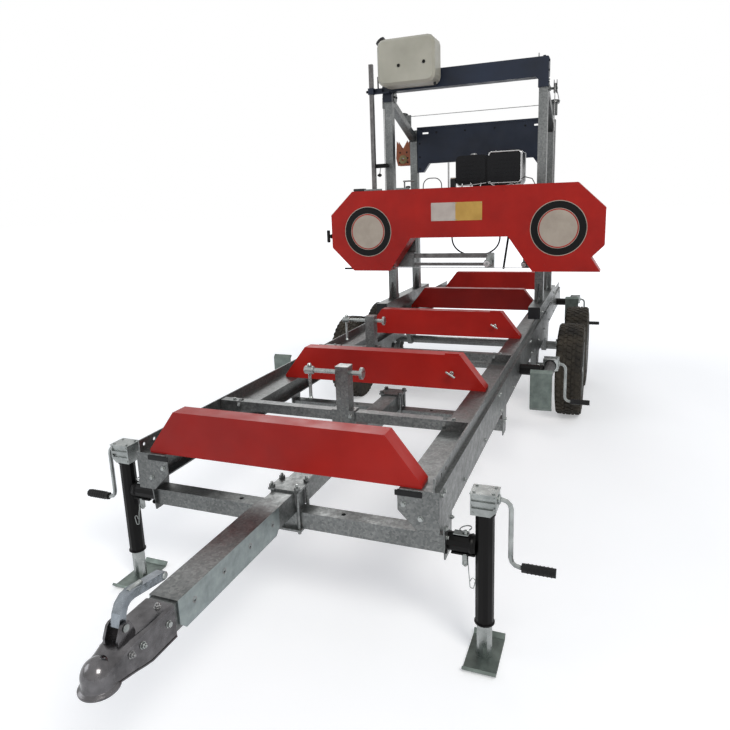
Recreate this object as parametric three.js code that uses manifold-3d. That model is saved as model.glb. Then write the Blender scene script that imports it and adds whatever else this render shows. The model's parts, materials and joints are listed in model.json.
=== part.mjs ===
// A portable band sawmill on a tandem trailer, in millimetres, +Z up.
// X runs across the bed, Y from the coupler (front) to the tail, Z up from the ground.
// Every place is first given from the front face of the first bunk and the middle of the
// bed; the last lines move the whole machine so that its origin is the middle of its base.
import * as THREE from "three";
import { mergeVertices } from "three/addons/utils/BufferGeometryUtils.js";
import Module from "manifold-3d";

const wasm = await Module();
wasm.setup();

// Clearances
const FIT = 0.3; // between pieces that are bolted or welded face to face
const RUNNING = 0.6; // between pieces that slide or turn on each other
const OVERRUN = 2; // how far a cut runs past the faces that it opens
const WELD = 0.5; // how far joined shapes of one piece reach into each other

// Roundness
const WHEEL_SIDES = 24;
const ROUND_SIDES = 12;
const ROD_SIDES = 8;
const THIN_SIDES = 6;
const CORNER_STEPS = 3;
const BEND_STEPS = 3;
const LOOP_STEPS = 24;

// Bunks: the red cross beams that the log lies on
const bunk = {
  bottomWidth: 957,
  topWidth: 739,
  height: 152,
  depth: 65,
  sheet: 4,
  base: 567, // height of the deck that they stand on
  footLip: 12,
  // from each front face to the next, in shares of the rails' length
  stepShares: [0.224594, 0.248956, 0.22529, 0.250812],
};

// Rails: folded galvanised channels with an upright track edge
const rail = {
  front: -10,
  length: 4310,
  deckInner: 413,
  webOuter: 532,
  sheet: 5,
  bottom: 441,
  lip: 42,
  trackOuter: 519,
  trackTop: 608,
  holePitch: 52,
  holeRadius: 7,
  holesFrom: 24,
  holeCount: 3,
  gussetInner: 407,
  gussetBottom: 436,
  gussetChamfer: 62,
  hangerBottom: 322,
  hangerTopWidth: 96,
  hangerBottomWidth: 72,
};

// Cross tubes and drawbar
const cross = {
  size: 57,
  wall: 4,
  top: 397,
  frontY: 90, // middle of the front tube
  middleY: 1150,
  holeRadius: 8,
  holeInset: 190,
};
const drawbar = {
  front: -640,
  back: 1210,
  width: 74,
  height: 72,
  wall: 4,
  sleeveFront: -545,
  sleeveBack: -60,
  sleeveSheet: 4.5,
  sleeveDrop: 8, // how far its cheeks reach below the bar
  sleeveChamfer: 22,
  sleeveHoleRadius: 5,
  sleeveHolePitch: 128,
  sleeveHolesFrom: 60,
  sleeveHoleCount: 4,
};
const clamp = {
  plate: 7,
  reach: 8.5, // from the bar's side to the middle of each bolt
  edge: 10,
  boltRadius: 6,
  boltHead: 10,
  boltHeadRadius: 10,
};

// Coupler
const coupler = {
  ballY: -758,
  ballZ: 434,
  socketRadius: 26,
  socketRun: 84,
  domeRadius: 42,
  skirtRadius: 50,
  skirtDrop: 26,
  skirtFlare: 6,
  neckFront: 78,
  back: -560,
  sheet: 5,
  boltHeadRadius: 12,
  boltHeadHeight: 8,
  boltYs: [-668, -700],
  boltZ: 447,
  earThickness: 6,
  earRise: 12,
  earGap: 30,
  earHeight: 40,
  earLength: 52,
  earY: -690,
};
const lever = {
  width: 24,
  depth: 20,
  wall: 4,
  pivotZ: 500,
  kneeY: -674,
  kneeZ: 556,
  tipY: -545,
  tipZ: 534,
  bend: 34,
  pinRadius: 5,
};

// Wheels and axles
const wheel = {
  radius: 291,
  width: 155,
  track: 740, // from the bed's middle to the tyre's middle
  shoulder: 20,
  crown: 5,
  rimRadius: 172,
  rimInner: 158,
  discInset: 14,
  disc: 8,
  hubRadius: 48,
  hubLength: 170,
  bore: 19,
  beadSide: 10,
};
const axle = {
  frontY: 2474,
  spacing: 650,
  size: 60,
  halfLength: 642,
  hangerThickness: 34,
  hangerTop: 220,
  hangerFoot: 96,
  hangerBridge: 64,
  spindleRun: 60,
};

// Jacks
const jack = {
  pivotZ: 368.5, // of the front pair, in line with the front cross tube
  stowedZ: 490, // of the pairs that are folded away
  middleY: 1655,
  rearInset: 375, // from the rails' back end to the rear pair
  leftX: 674,
  rightX: 642,
  stowedX: 674,
  spigotRadius: 22,
  spigotEnd: 604,
  sleeveRadius: 28.5,
  tubeRadius: 28.5,
  tubeTop: 110,
  tubeBottom: -252,
  legRadius: 23.5,
  legTop: 20,
  retract: 100, // how far the leg can be wound into its tube
  footWidth: 99,
  footLength: 196,
  footSheet: 6,
  footTurn: 14,
  gearWidth: 76,
  gearDepth: 64,
  gearHeight: 66,
  gearChamfer: 18,
  gearSheet: 4,
  ribInset: 6,
  crankZ: 155,
  crankRadius: 7.5,
  crankOut: 37,
  crankDrop: 205,
  crankBend: 26,
  gripRadius: 14,
  gripLength: 96,
  gripInset: 6,
  pinRadius: 6,
  pinHeight: 34,
};

// Log clamps
const logClamp = {
  frontY: 490,
  rearY: 1500,
  barHalf: 511,
  barSize: 38,
  barWall: 3,
  ringRadius: 25,
  ringWidth: 12,
  ringsAt: 424,
  frontPostX: 36,
  rearPostX: -236,
  postWidth: 50,
  postTop: 778,
  sleeveLength: 92,
  sleeveWall: 5,
  screwZ: 752,
  screwRadius: 9,
  screwRun: 118,
  screwPast: 44,
  padRadius: 22,
  padThickness: 8,
  knobRadius: 15,
  handleRadius: 6,
  handleDrop: 108,
  handleRise: 18,
};

// Log stops that slide up out of the second and third bunks
const stop = {
  width: 62,
  thickness: 9,
  inner: 302,
  below: 145,
  above: 6,
  screwZ: 640,
  screwRadius: 6,
};

// Carriage
const frame = {
  beamSize: 75,
  beamWall: 4,
  beamBottom: 612,
  beamFront: 2433,
  beamBack: 3510,
  beamX: 511,
  postSize: 55,
  postWall: 3.5,
  frontPostY: 2700,
  rearPostY: 3280,
  frontPostTop: 2095,
  rearPostTop: 1900,
  braceSize: 50,
  braceDrop: 34,
  rollerRadius: 34,
  rollerWidth: 20,
  rollerInset: 96,
  gussetSize: 120,
  gussetSheet: 6,
};
// The rope that hangs the head from both sides of the carriage
const rope = {
  radius: 3,
  x: 573,
  frontY: 2757,
  rearY: 3150,
  frontZ: 2074,
  rearZ: 1990,
};
const pulley = {
  radius: 25, // at the bottom of its groove
  width: 12,
  rim: 5,
  lip: 2,
  pin: 8,
  plate: 6,
  plateFront: 2690,
  standSink: 4,
};
const topBeam = {
  overhang: 31, // past the middle of each post
  height: 115,
  depth: 84,
  sheet: 4,
  corner: 8,
  legDrop: 62, // of the sheet leg that wraps the top of each post
  legFillet: 16,
  boltRadius: 10,
  boltHeight: 12,
};
const rearPanel = {
  bottom: 1650,
  top: 1920,
  legWidth: 48,
  legSlant: 47, // sideways run of the slope between leg and middle
  legBottom: 1585,
  depth: 42,
  sheet: 3,
  slotWidth: 46,
  slotHeight: 12,
  slotDown: 46,
  slotIn: 68,
};
const tank = {
  left: -517,
  width: 383,
  bottom: 2106,
  height: 282,
  depth: 170,
  corner: 46,
  edge: 16,
  neckRadius: 27,
  neckHeight: 34,
  neckTilt: 38,
  neckIn: 62,
  capRadius: 33,
  capHeight: 22,
};
// Hand winch on the outer face of the left rear post
const winch = {
  reach: 115, // of its cheeks from the post
  z: 1700,
  drumRadius: 22,
  flangeRadius: 42,
  flange: 3,
  drumLength: 38,
  gearRadius: 37,
  gearThickness: 7,
  shaftRadius: 9,
  shaftPast: 52,
  crankArm: 143,
  crankBar: 7,
  gripLength: 84,
  gripRadius: 12,
  cheek: 4,
  cheekDrop: 57,
  earRise: 131,
  notchRise: 62,
  earShares: [0.17, 0.93], // of the cheeks' reach
  notchShare: 0.55,
  footShare: 0.88,
  ropeRadius: 2.5,
  ropeBite: 1, // how far the wound rope is pressed into the layer below it
  turnGap: 0.9, // between neighbouring turns on the drum
  turns: 4,
};

// Saw head
const head = {
  centreX: 35, // the head sits a little to the right of the bed
  coverFront: 2382,
  coverDepth: 146,
  sheet: 3,
  half: 875,
  topHalf: 715,
  top: 1446,
  bottom: 919,
  topChamfer: 152,
  bottomChamfer: 157,
  lobeInner: 464,
  archHalf: 314,
  archZ: 1135,
  chuteRun: 72,
  chuteLip: 18,
  bladeSlot: 8,
};
const bandWheel = {
  radius: 243,
  edgeInset: 264, // from the cover's side to the wheel's shaft
  width: 30,
  rim: 22,
  web: 8,
  hubRadius: 38,
  hubLength: 50,
  shaftRadius: 17,
  z: 1183,
  front: 2421,
  crown: 2,
};
const blade = {
  width: 32,
  thickness: 1.2,
};
const headFrame = {
  inset: 145, // of its beam's ends from the cover's sides
  beamDepth: 70,
  beamHeight: 100,
  beamWall: 5,
  sleeveWall: 6,
  sleeveHeight: 200,
  bearingRadius: 40,
  bearingLength: 36,
  deckThickness: 8,
  deckHalf: 290,
  deckX: 140,
  deckBack: 3086,
  deckLip: 44,
  earWidth: 34,
  earThickness: 14,
};
const rod = {
  x: -612,
  y: 2634,
  size: 26,
  wall: 2.5,
  top: 2276,
  bottom: 1096,
  guideZ: 2104,
  guideHeight: 40,
  guideWall: 6,
};
const guide = {
  armSize: 30,
  armZ: 990,
  armLeft: -560,
  lowerSize: 20, // of the second tube that runs under the arm
  lowerZ: 938,
  blockX: 212,
  fixedX: 442,
  fixedRadius: 15,
  fixedWidth: 38,
  blockWidth: 52,
  blockDepth: 24,
  blockBottom: 928,
  blockRise: 2.4,
  rollerRadius: 22,
  rollerLip: 6,
  flange: 5,
  pinRadius: 10,
  holderLeft: -430,
  holderRight: -300,
  holderWall: 7,
};
const engine = {
  x: 140,
  y: 2905,
  crankWidth: 300,
  crankDepth: 230,
  crankHeight: 210,
  chamfer: 40,
  cylinderWidth: 120,
  finCount: 6,
  finPitch: 14,
  finThickness: 5,
  finReach: 12,
  filterWidth: 222,
  filterDepth: 130,
  filterBottom: 1462,
  filterTop: 1664,
  filterCorner: 34,
  tankWidth: 228,
  tankDepth: 190,
  tankBottom: 1456,
  tankTop: 1682,
  tankCorner: 24,
  coverRadius: 96,
  coverLength: 52,
  postSize: 60,
};
const hose = {
  left: -51,
  right: 268,
  y: 2584,
  low: 1002,
  radius: 5,
  bend: 62,
};
const tension = {
  z: 1150,
  y: 2452,
  shaftRadius: 9,
  shaftRun: 58,
  barHalf: 42,
  barRadius: 12,
  collarRadius: 16,
  collarLength: 12,
};

// Materials
const galvanised = material(0x8f9290, 0.45, 0.7);
const redPaint = material(0xa8272b, 0.42, 0.1);
const blackPaint = material(0x1b1a1c, 0.5, 0.1);
const navyPaint = material(0x232c38, 0.45, 0.2);
const zincSteel = material(0x9aa0a4, 0.35, 0.85);
const castMetal = material(0x5a5d60, 0.5, 0.7);
const bladeSteel = material(0xa9adb0, 0.3, 0.9);
const tyreRubber = material(0x2b2a29, 0.85, 0);
const tankPlastic = material(0xb2aea4, 0.55, 0);
const yellowZinc = material(0xbe6a2c, 0.4, 0.7);
const engineBlack = material(0x17181a, 0.4, 0.2);

function material(color, roughness, metalness) {
  return new THREE.MeshStandardMaterial({ color, roughness, metalness });
}

// Solids

// A closed geometry as a solid that can be joined and cut.
function solid(geometry) {
  const bare = geometry.index ? geometry.toNonIndexed() : geometry.clone();
  bare.deleteAttribute("normal");
  bare.deleteAttribute("uv");
  const merged = mergeVertices(bare);
  const corners = [];
  for (let i = 0; i < merged.index.count; i += 3) {
    const [a, b, c] = [0, 1, 2].map((k) => merged.index.getX(i + k));
    if (a !== b && b !== c && c !== a) corners.push(a, b, c);
  }
  const vertProperties = merged.attributes.position.array;
  const build = (triVerts) =>
    new wasm.Manifold(new wasm.Mesh({ numProp: 3, vertProperties, triVerts: new Uint32Array(triVerts) }));
  const made = build(corners);
  return made.volume() < 0 ? build(corners.reverse()) : made;
}

function join(...pieces) {
  return pieces.flat().reduce((whole, piece) => whole.add(piece));
}

function cut(whole, ...tools) {
  return tools.flat().reduce((rest, tool) => rest.subtract(tool), whole);
}

// A solid turned and moved by a matrix.
function placed(piece, matrix) {
  return solid(geometryOf(piece).applyMatrix4(matrix));
}

function geometryOf(piece) {
  const mesh = piece.getMesh();
  const positions = new Float32Array(mesh.numVert * 3);
  for (let i = 0; i < mesh.numVert; i += 1) {
    const from = i * mesh.numProp;
    positions.set(mesh.vertProperties.subarray(from, from + 3), i * 3);
  }
  const geometry = new THREE.BufferGeometry();
  geometry.setAttribute("position", new THREE.BufferAttribute(positions, 3));
  geometry.setIndex(new THREE.BufferAttribute(new Uint32Array(mesh.triVerts), 1));
  return geometry;
}

function meshOf(name, piece, surface) {
  const geometry = geometryOf(piece).toNonIndexed();
  geometry.computeVertexNormals();
  const mesh = new THREE.Mesh(geometry, surface);
  mesh.name = name;
  return mesh;
}

// The pair of ends of a length around its middle, or on one side of the bed.
function about(middle, length) {
  return [middle - length / 2, middle + length / 2];
}

function onSide(side, inner, outer) {
  return side > 0 ? [inner, outer] : [-outer, -inner];
}

function box(xs, ys, zs) {
  const spans = [xs, ys, zs];
  const size = spans.map(([from, to]) => to - from);
  const middle = spans.map(([from, to]) => (from + to) / 2);
  return solid(new THREE.BoxGeometry(...size).translate(...middle));
}

// A turned bar along an axis: the centre holds the two other coordinates in order.
function bar(axis, span, centre, radius, sides = ROD_SIDES) {
  const [from, to] = span;
  const middle = (from + to) / 2;
  const geometry = new THREE.CylinderGeometry(radius, radius, to - from, sides);
  if (axis === "x") geometry.rotateZ(Math.PI / 2).translate(middle, centre[0], centre[1]);
  if (axis === "y") geometry.translate(centre[0], middle, centre[1]);
  if (axis === "z") geometry.rotateX(Math.PI / 2).translate(centre[0], centre[1], middle);
  return solid(geometry);
}

// An outline pushed along an axis. Its points are [y, z] for x, [x, z] for y, [x, y] for z.
function prism(axis, outline, span) {
  const [from, to] = span;
  const shape = new THREE.Shape(outline.map(([u, v]) => new THREE.Vector2(u, v)));
  const geometry = new THREE.ExtrudeGeometry(shape, { depth: to - from, bevelEnabled: false });
  const matrix = new THREE.Matrix4();
  if (axis === "x") matrix.set(0, 0, 1, from, 1, 0, 0, 0, 0, 1, 0, 0, 0, 0, 0, 1);
  if (axis === "y") matrix.set(1, 0, 0, 0, 0, 0, -1, to, 0, 1, 0, 0, 0, 0, 0, 1);
  if (axis === "z") matrix.makeTranslation(0, 0, from);
  return solid(geometry.applyMatrix4(matrix));
}

// A profile of [radius, distance along the axis] points, turned about an axis.
function turned(axis, profile, centre, sides = ROUND_SIDES) {
  const points = profile.map(([radius, along]) => new THREE.Vector2(radius, along));
  const geometry = new THREE.LatheGeometry([...points, points[0].clone()], sides);
  if (axis === "x") geometry.rotateZ(-Math.PI / 2);
  if (axis === "z") geometry.rotateX(Math.PI / 2);
  return solid(geometry.translate(...centre));
}

// The radius of a faceted bore in which a bar of this radius turns freely.
function boreFor(radius, sides = ROD_SIDES) {
  return (radius + FIT) / Math.cos(Math.PI / sides);
}

// A square tube along an axis, open at both ends.
function squareTube(axis, span, centre, size, wall) {
  const [from, to] = span;
  const whole = (width, ends) => {
    const [a, b] = centre.map((middle) => about(middle, width));
    if (axis === "x") return box(ends, a, b);
    if (axis === "y") return box(a, ends, b);
    return box(a, b, ends);
  };
  return cut(whole(size, span), whole(size - 2 * wall, [from - OVERRUN, to + OVERRUN]));
}

// An outline moved inwards by a wall's thickness.
function inset(outline, wall) {
  const count = outline.length;
  const turning = Math.sign(
    outline.reduce((sum, [x, z], i) => {
      const [nextX, nextZ] = outline[(i + 1) % count];
      return sum + x * nextZ - nextX * z;
    }, 0),
  );
  const normals = outline.map(([x, z], i) => {
    const [nextX, nextZ] = outline[(i + 1) % count];
    const length = Math.hypot(nextX - x, nextZ - z);
    return [(-(nextZ - z) / length) * turning, ((nextX - x) / length) * turning];
  });
  return outline.map(([x, z], i) => {
    const [ax, az] = normals[(i + count - 1) % count];
    const [bx, bz] = normals[i];
    const spread = 1 + ax * bx + az * bz;
    return [x + (wall * (ax + bx)) / spread, z + (wall * (az + bz)) / spread];
  });
}

// The centre and the plane of the arc that rounds a corner between two neighbours.
function cornerArc(previous, corner, next, radius) {
  const before = previous.clone().sub(corner).normalize();
  const after = next.clone().sub(corner).normalize();
  const half = before.angleTo(after) / 2;
  const reach = radius / Math.tan(half);
  const inward = before.clone().add(after).normalize();
  const centre = corner.clone().addScaledVector(inward, radius / Math.sin(half));
  const start = corner.clone().addScaledVector(before, reach).sub(centre);
  const end = corner.clone().addScaledVector(after, reach).sub(centre);
  return { centre, start, end, normal: before.cross(after).normalize() };
}

// Points of a polyline with each inner corner rounded.
function rounded(points, radius) {
  const corners = points.map((point) => new THREE.Vector3(...point));
  const path = [corners[0]];
  for (let i = 1; i < corners.length - 1; i += 1) {
    const { centre, start, end } = cornerArc(corners[i - 1], corners[i], corners[i + 1], radius);
    const sweep = start.angleTo(end);
    for (let step = 0; step <= BEND_STEPS; step += 1) {
      const share = step / BEND_STEPS;
      const place = centre.clone();
      place.addScaledVector(start, Math.sin((1 - share) * sweep) / Math.sin(sweep));
      place.addScaledVector(end, Math.sin(share * sweep) / Math.sin(sweep));
      path.push(place);
    }
  }
  path.push(corners[corners.length - 1]);
  return path;
}

// A path that passes through its points exactly, for sweeping a round section.
class PointPath extends THREE.Curve {
  constructor(points) {
    super();
    this.points = points;
  }

  getPoint(t, target = new THREE.Vector3()) {
    const last = this.points.length - 1;
    const place = Math.min(Math.max(t, 0), 1) * last;
    const index = Math.min(Math.floor(place + Number.EPSILON * last), last - 1);
    return target.lerpVectors(this.points[index], this.points[index + 1], place - index);
  }

  getPointAt(u, target) {
    return this.getPoint(u, target);
  }

  getTangentAt(u, target = new THREE.Vector3()) {
    const last = this.points.length - 1;
    const index = Math.round(u * last);
    const here = this.points[index];
    const arriving = new THREE.Vector3();
    const leaving = new THREE.Vector3();
    if (index > 0) arriving.subVectors(here, this.points[index - 1]).normalize();
    if (index < last) leaving.subVectors(this.points[index + 1], here).normalize();
    return target.addVectors(arriving, leaving).normalize();
  }
}

function bentBar(points, bendRadius, radius, sides = ROD_SIDES) {
  return sweptBar(rounded(points, bendRadius), radius, sides);
}

function sweptBar(path, radius, sides) {
  const section = new THREE.Shape();
  for (let i = 0; i < sides; i += 1) {
    const angle = (2 * Math.PI * i) / sides;
    const [u, v] = [radius * Math.cos(angle), radius * Math.sin(angle)];
    if (i === 0) section.moveTo(u, v);
    else section.lineTo(u, v);
  }
  const extrudePath = new PointPath(path);
  return solid(new THREE.ExtrudeGeometry(section, { steps: path.length - 1, extrudePath }));
}

// The corners of a rectangle with rounded corners.
function roundedRectangle([left, right], [bottom, top], radius) {
  const outline = [];
  const corners = [
    [right - radius, top - radius, 0],
    [left + radius, top - radius, 1],
    [left + radius, bottom + radius, 2],
    [right - radius, bottom + radius, 3],
  ];
  for (const [x, z, quarter] of corners) {
    for (let i = 0; i <= CORNER_STEPS; i += 1) {
      const angle = ((quarter + i / CORNER_STEPS) * Math.PI) / 2;
      outline.push([x + radius * Math.cos(angle), z + radius * Math.sin(angle)]);
    }
  }
  return outline;
}

// Places that several pieces share
const bunkFronts = bunk.stepShares.reduce(
  (fronts, share) => [...fronts, fronts[fronts.length - 1] + share * rail.length],
  [0],
);
const deckZ = bunk.base - FIT;
const webInner = rail.webOuter - rail.sheet;
const railBack = rail.front + rail.length;
const rearJackY = railBack - jack.rearInset;
const crossZ = cross.top - cross.size / 2;
const drawbarBottom = cross.top + FIT;
const drawbarTop = drawbarBottom + drawbar.height;
const beamTop = frame.beamBottom + frame.beamSize;
const leftPostOuter = frame.beamX + frame.postSize / 2;
const winchX = -leftPostOuter - winch.reach / 2;
const bandWheelXs = [-1, 1].map((side) => head.centreX + side * (head.half - bandWheel.edgeInset));
const headFrameHalf = head.half - headFrame.inset;
const bladeTop = bandWheel.z - bandWheel.radius - FIT;
const headBeamZ = about(bandWheel.z, headFrame.beamHeight);
const headBeamFront = head.coverFront + head.coverDepth + FIT;
const headBeamBack = headBeamFront + headFrame.beamDepth;
const engineDeckTop = bandWheel.z + headFrame.deckThickness;
const guideY = head.coverFront + head.coverDepth + OVERRUN + guide.holderWall + RUNNING;

// Bed

function railPiece(side) {
  const flip = ([x, z]) => [side * x, z];
  const profile = [
    [rail.deckInner, deckZ - rail.sheet],
    [webInner, deckZ - rail.sheet],
    [webInner, rail.bottom + rail.sheet],
    [rail.webOuter - rail.lip, rail.bottom + rail.sheet],
    [rail.webOuter - rail.lip, rail.bottom],
    [rail.webOuter, rail.bottom],
    [rail.webOuter, deckZ],
    [rail.trackOuter, deckZ],
    [rail.trackOuter, rail.trackTop],
    [rail.trackOuter - rail.sheet, rail.trackTop],
    [rail.trackOuter - rail.sheet, deckZ],
    [rail.deckInner, deckZ],
  ];
  let piece = prism("y", profile.map(flip), [rail.front, railBack]);
  const endPlate = [
    [rail.gussetInner, deckZ - rail.sheet + WELD],
    [rail.webOuter - WELD, deckZ - rail.sheet + WELD],
    [rail.webOuter - WELD, rail.gussetBottom],
    [rail.gussetInner + rail.gussetChamfer, rail.gussetBottom],
    [rail.gussetInner, rail.gussetBottom + rail.gussetChamfer],
  ];
  piece = join(piece, prism("y", endPlate.map(flip), [rail.front, rail.front + rail.sheet]));
  for (const y of [cross.frontY, cross.middleY]) {
    const hanger = [
      [y - rail.hangerTopWidth / 2, rail.bottom + WELD],
      [y + rail.hangerTopWidth / 2, rail.bottom + WELD],
      [y + rail.hangerBottomWidth / 2, rail.hangerBottom],
      [y - rail.hangerBottomWidth / 2, rail.hangerBottom],
    ];
    const front = Math.max(rail.front, y - rail.hangerTopWidth / 2);
    const clipped = hanger.map(([along, z]) => [Math.max(along, front), z]);
    piece = join(piece, prism("x", clipped, onSide(side, webInner, rail.webOuter)));
  }
  const spigots = [
    [cross.frontY, crossZ],
    [jack.middleY, jack.stowedZ],
    [rearJackY, jack.stowedZ],
  ];
  for (const centre of spigots) {
    const run = onSide(side, webInner, jack.spigotEnd);
    piece = join(piece, bar("x", run, centre, jack.spigotRadius, ROUND_SIDES));
  }
  const holes = [];
  for (let i = 0; i < rail.holeCount; i += 1) {
    const y = rail.front + rail.holesFrom + i * rail.holePitch;
    const z = (deckZ + rail.trackTop) / 2;
    const across = onSide(side, rail.trackOuter - rail.sheet - OVERRUN, rail.trackOuter + OVERRUN);
    holes.push(bar("x", across, [y, z], rail.holeRadius));
  }
  return cut(piece, holes);
}

function bunkPiece(index) {
  const front = bunkFronts[index];
  const back = front + bunk.depth;
  const top = bunk.base + bunk.height;
  const outline = [
    [-bunk.bottomWidth / 2, bunk.base],
    [bunk.bottomWidth / 2, bunk.base],
    [bunk.bottomWidth / 2, bunk.base + bunk.footLip],
    [bunk.topWidth / 2, top],
    [-bunk.topWidth / 2, top],
    [-bunk.bottomWidth / 2, bunk.base + bunk.footLip],
  ];
  const whole = prism("y", outline, [front, back]);
  const inside = prism("y", inset(outline, bunk.sheet), [front + bunk.sheet, back - bunk.sheet]);
  const feet = box(
    about(0, 2 * rail.deckInner),
    [front + bunk.sheet, back - bunk.sheet],
    [bunk.base - OVERRUN, bunk.base + bunk.sheet + OVERRUN],
  );
  const piece = cut(whole, inside, feet);
  if (index !== 1 && index !== 2) return piece;
  const slot = box(
    [stop.inner - RUNNING, stop.inner + stop.width + RUNNING],
    [front + bunk.sheet, front + bunk.sheet + stop.thickness + 2 * RUNNING],
    [top - bunk.sheet - OVERRUN, top + OVERRUN],
  );
  const screwHole = bar(
    "y",
    [front - OVERRUN, front + bunk.sheet + OVERRUN],
    [stop.inner + stop.width / 2, stop.screwZ],
    stop.screwRadius + RUNNING,
  );
  return cut(piece, slot, screwHole);
}

function crossTube(y, withClamp) {
  let piece = squareTube("x", about(0, 2 * (webInner - FIT)), [y, crossZ], cross.size, cross.wall);
  const holes = [-1, 1].map((side) =>
    bar("z", about(crossZ, cross.size + OVERRUN), [side * cross.holeInset, y], cross.holeRadius),
  );
  piece = cut(piece, holes);
  if (!withClamp) return piece;
  const reach = drawbar.width / 2 + clamp.reach;
  const xs = about(0, 2 * (reach + clamp.edge));
  const ys = about(y, cross.size + 2 * (clamp.boltRadius + clamp.edge));
  const plateBottom = drawbarTop + FIT;
  const upper = box(xs, ys, [plateBottom, plateBottom + clamp.plate]);
  const lower = box(xs, ys, [cross.top - cross.size - clamp.plate, cross.top - cross.size + WELD]);
  const bolts = [];
  for (const side of [-1, 1]) {
    for (const end of [-1, 1]) {
      const centre = [side * reach, y + end * (cross.size / 2 + clamp.boltRadius - WELD)];
      const foot = cross.top - cross.size - clamp.plate - clamp.boltHead;
      const top = plateBottom + clamp.plate + clamp.boltHead;
      bolts.push(bar("z", [foot, top - WELD], centre, clamp.boltRadius, THIN_SIDES));
      bolts.push(bar("z", [top - clamp.boltHead, top], centre, clamp.boltHeadRadius, THIN_SIDES));
    }
  }
  return join(piece, upper, lower, bolts);
}

function drawbarTube() {
  const xs = about(0, drawbar.width);
  const ys = [drawbar.front, drawbar.back];
  const inner = box(
    about(0, drawbar.width - 2 * drawbar.wall),
    [drawbar.front - OVERRUN, drawbar.back + OVERRUN],
    [drawbarBottom + drawbar.wall, drawbarTop - drawbar.wall],
  );
  return cut(box(xs, ys, [drawbarBottom, drawbarTop]), inner);
}

function drawbarSleeve() {
  const outer = drawbar.width / 2 + FIT + drawbar.sleeveSheet;
  const top = drawbarTop + FIT + drawbar.sleeveSheet;
  const bottom = drawbarBottom - drawbar.sleeveDrop;
  const cheek = [
    [drawbar.sleeveFront, top],
    [drawbar.sleeveFront, bottom + drawbar.sleeveChamfer],
    [drawbar.sleeveFront + drawbar.sleeveChamfer, bottom],
    [drawbar.sleeveBack - drawbar.sleeveChamfer, bottom],
    [drawbar.sleeveBack, bottom + drawbar.sleeveChamfer],
    [drawbar.sleeveBack, top],
  ];
  const whole = prism("x", cheek, about(0, 2 * outer));
  const channel = box(
    about(0, drawbar.width + 2 * FIT),
    [drawbar.sleeveFront - OVERRUN, drawbar.sleeveBack + OVERRUN],
    [bottom - OVERRUN, drawbarTop + FIT],
  );
  const holes = [];
  for (let i = 0; i < drawbar.sleeveHoleCount; i += 1) {
    const y = drawbar.sleeveFront + drawbar.sleeveHolesFrom + i * drawbar.sleeveHolePitch;
    const z = drawbarBottom + drawbar.height / 2;
    holes.push(bar("x", about(0, 2 * (outer + OVERRUN)), [y, z], drawbar.sleeveHoleRadius));
  }
  return cut(whole, channel, holes);
}

function couplerBody() {
  const { ballY, ballZ, domeRadius, skirtRadius, skirtDrop, skirtFlare, sheet } = coupler;
  const dome = [[0, ballZ + domeRadius]];
  const domeSteps = CORNER_STEPS + 1;
  for (let i = 1; i <= domeSteps; i += 1) {
    const angle = (Math.PI / 2) * (1 - i / domeSteps);
    dome.push([domeRadius * Math.cos(angle), ballZ + domeRadius * Math.sin(angle)]);
  }
  dome.push([domeRadius, ballZ - skirtDrop + skirtFlare]);
  dome.push([skirtRadius, ballZ - skirtDrop]);
  dome.push([skirtRadius, ballZ - skirtDrop - skirtFlare]);
  dome.push([0, ballZ - skirtDrop - skirtFlare]);
  const shell = turned("z", dome, [0, ballY, 0], 2 * ROD_SIDES);
  const bottom = drawbarBottom - sheet - FIT;
  const half = drawbar.width / 2 + FIT + sheet;
  const plan = [
    [-coupler.neckFront / 2, ballY],
    [coupler.neckFront / 2, ballY],
    [half, drawbar.front - sheet],
    [half, coupler.back],
    [-half, coupler.back],
    [-half, drawbar.front - sheet],
  ];
  const neckSide = [
    [ballY, bottom],
    [coupler.back, bottom],
    [coupler.back, drawbarTop + FIT + sheet],
    [drawbar.front - sheet, drawbarTop + FIT + sheet],
    [ballY, ballZ + domeRadius - sheet],
  ];
  const wide = about(0, 2 * (half + OVERRUN));
  const neck = prism("z", plan, [bottom - OVERRUN, drawbarTop + coupler.earHeight]).intersect(
    prism("x", neckSide, wide),
  );
  const socket = turned("z", ballSocket(), [0, ballY, ballZ], ROUND_SIDES);
  const barRoom = box(
    about(0, drawbar.width + 2 * FIT),
    [drawbar.front - FIT, coupler.back + OVERRUN],
    [drawbarBottom - FIT, drawbarTop + FIT],
  );
  const ears = [-1, 1].map((side) =>
    box(
      onSide(side, coupler.earGap / 2, coupler.earGap / 2 + coupler.earThickness),
      about(coupler.earY, coupler.earLength),
      [ballZ, lever.pivotZ + coupler.earRise],
    ),
  );
  const bolts = coupler.boltYs.flatMap((y) => {
    const place = [y, coupler.boltZ];
    const run = 2 * (coupler.neckFront / 2 + coupler.boltHeadHeight);
    return bar("x", about(0, run), place, coupler.boltHeadRadius, THIN_SIDES);
  });
  return cut(join(shell, neck, ears, bolts), socket, barRoom);
}

function ballSocket() {
  const { socketRadius } = coupler;
  const steps = CORNER_STEPS + 1;
  const profile = [];
  for (let i = 0; i <= steps; i += 1) {
    const angle = (Math.PI / 2) * (1 - i / steps);
    profile.push([socketRadius * Math.cos(angle), socketRadius * Math.sin(angle)]);
  }
  profile.push([socketRadius, -coupler.socketRun]);
  profile.push([0, -coupler.socketRun]);
  return profile;
}

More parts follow.
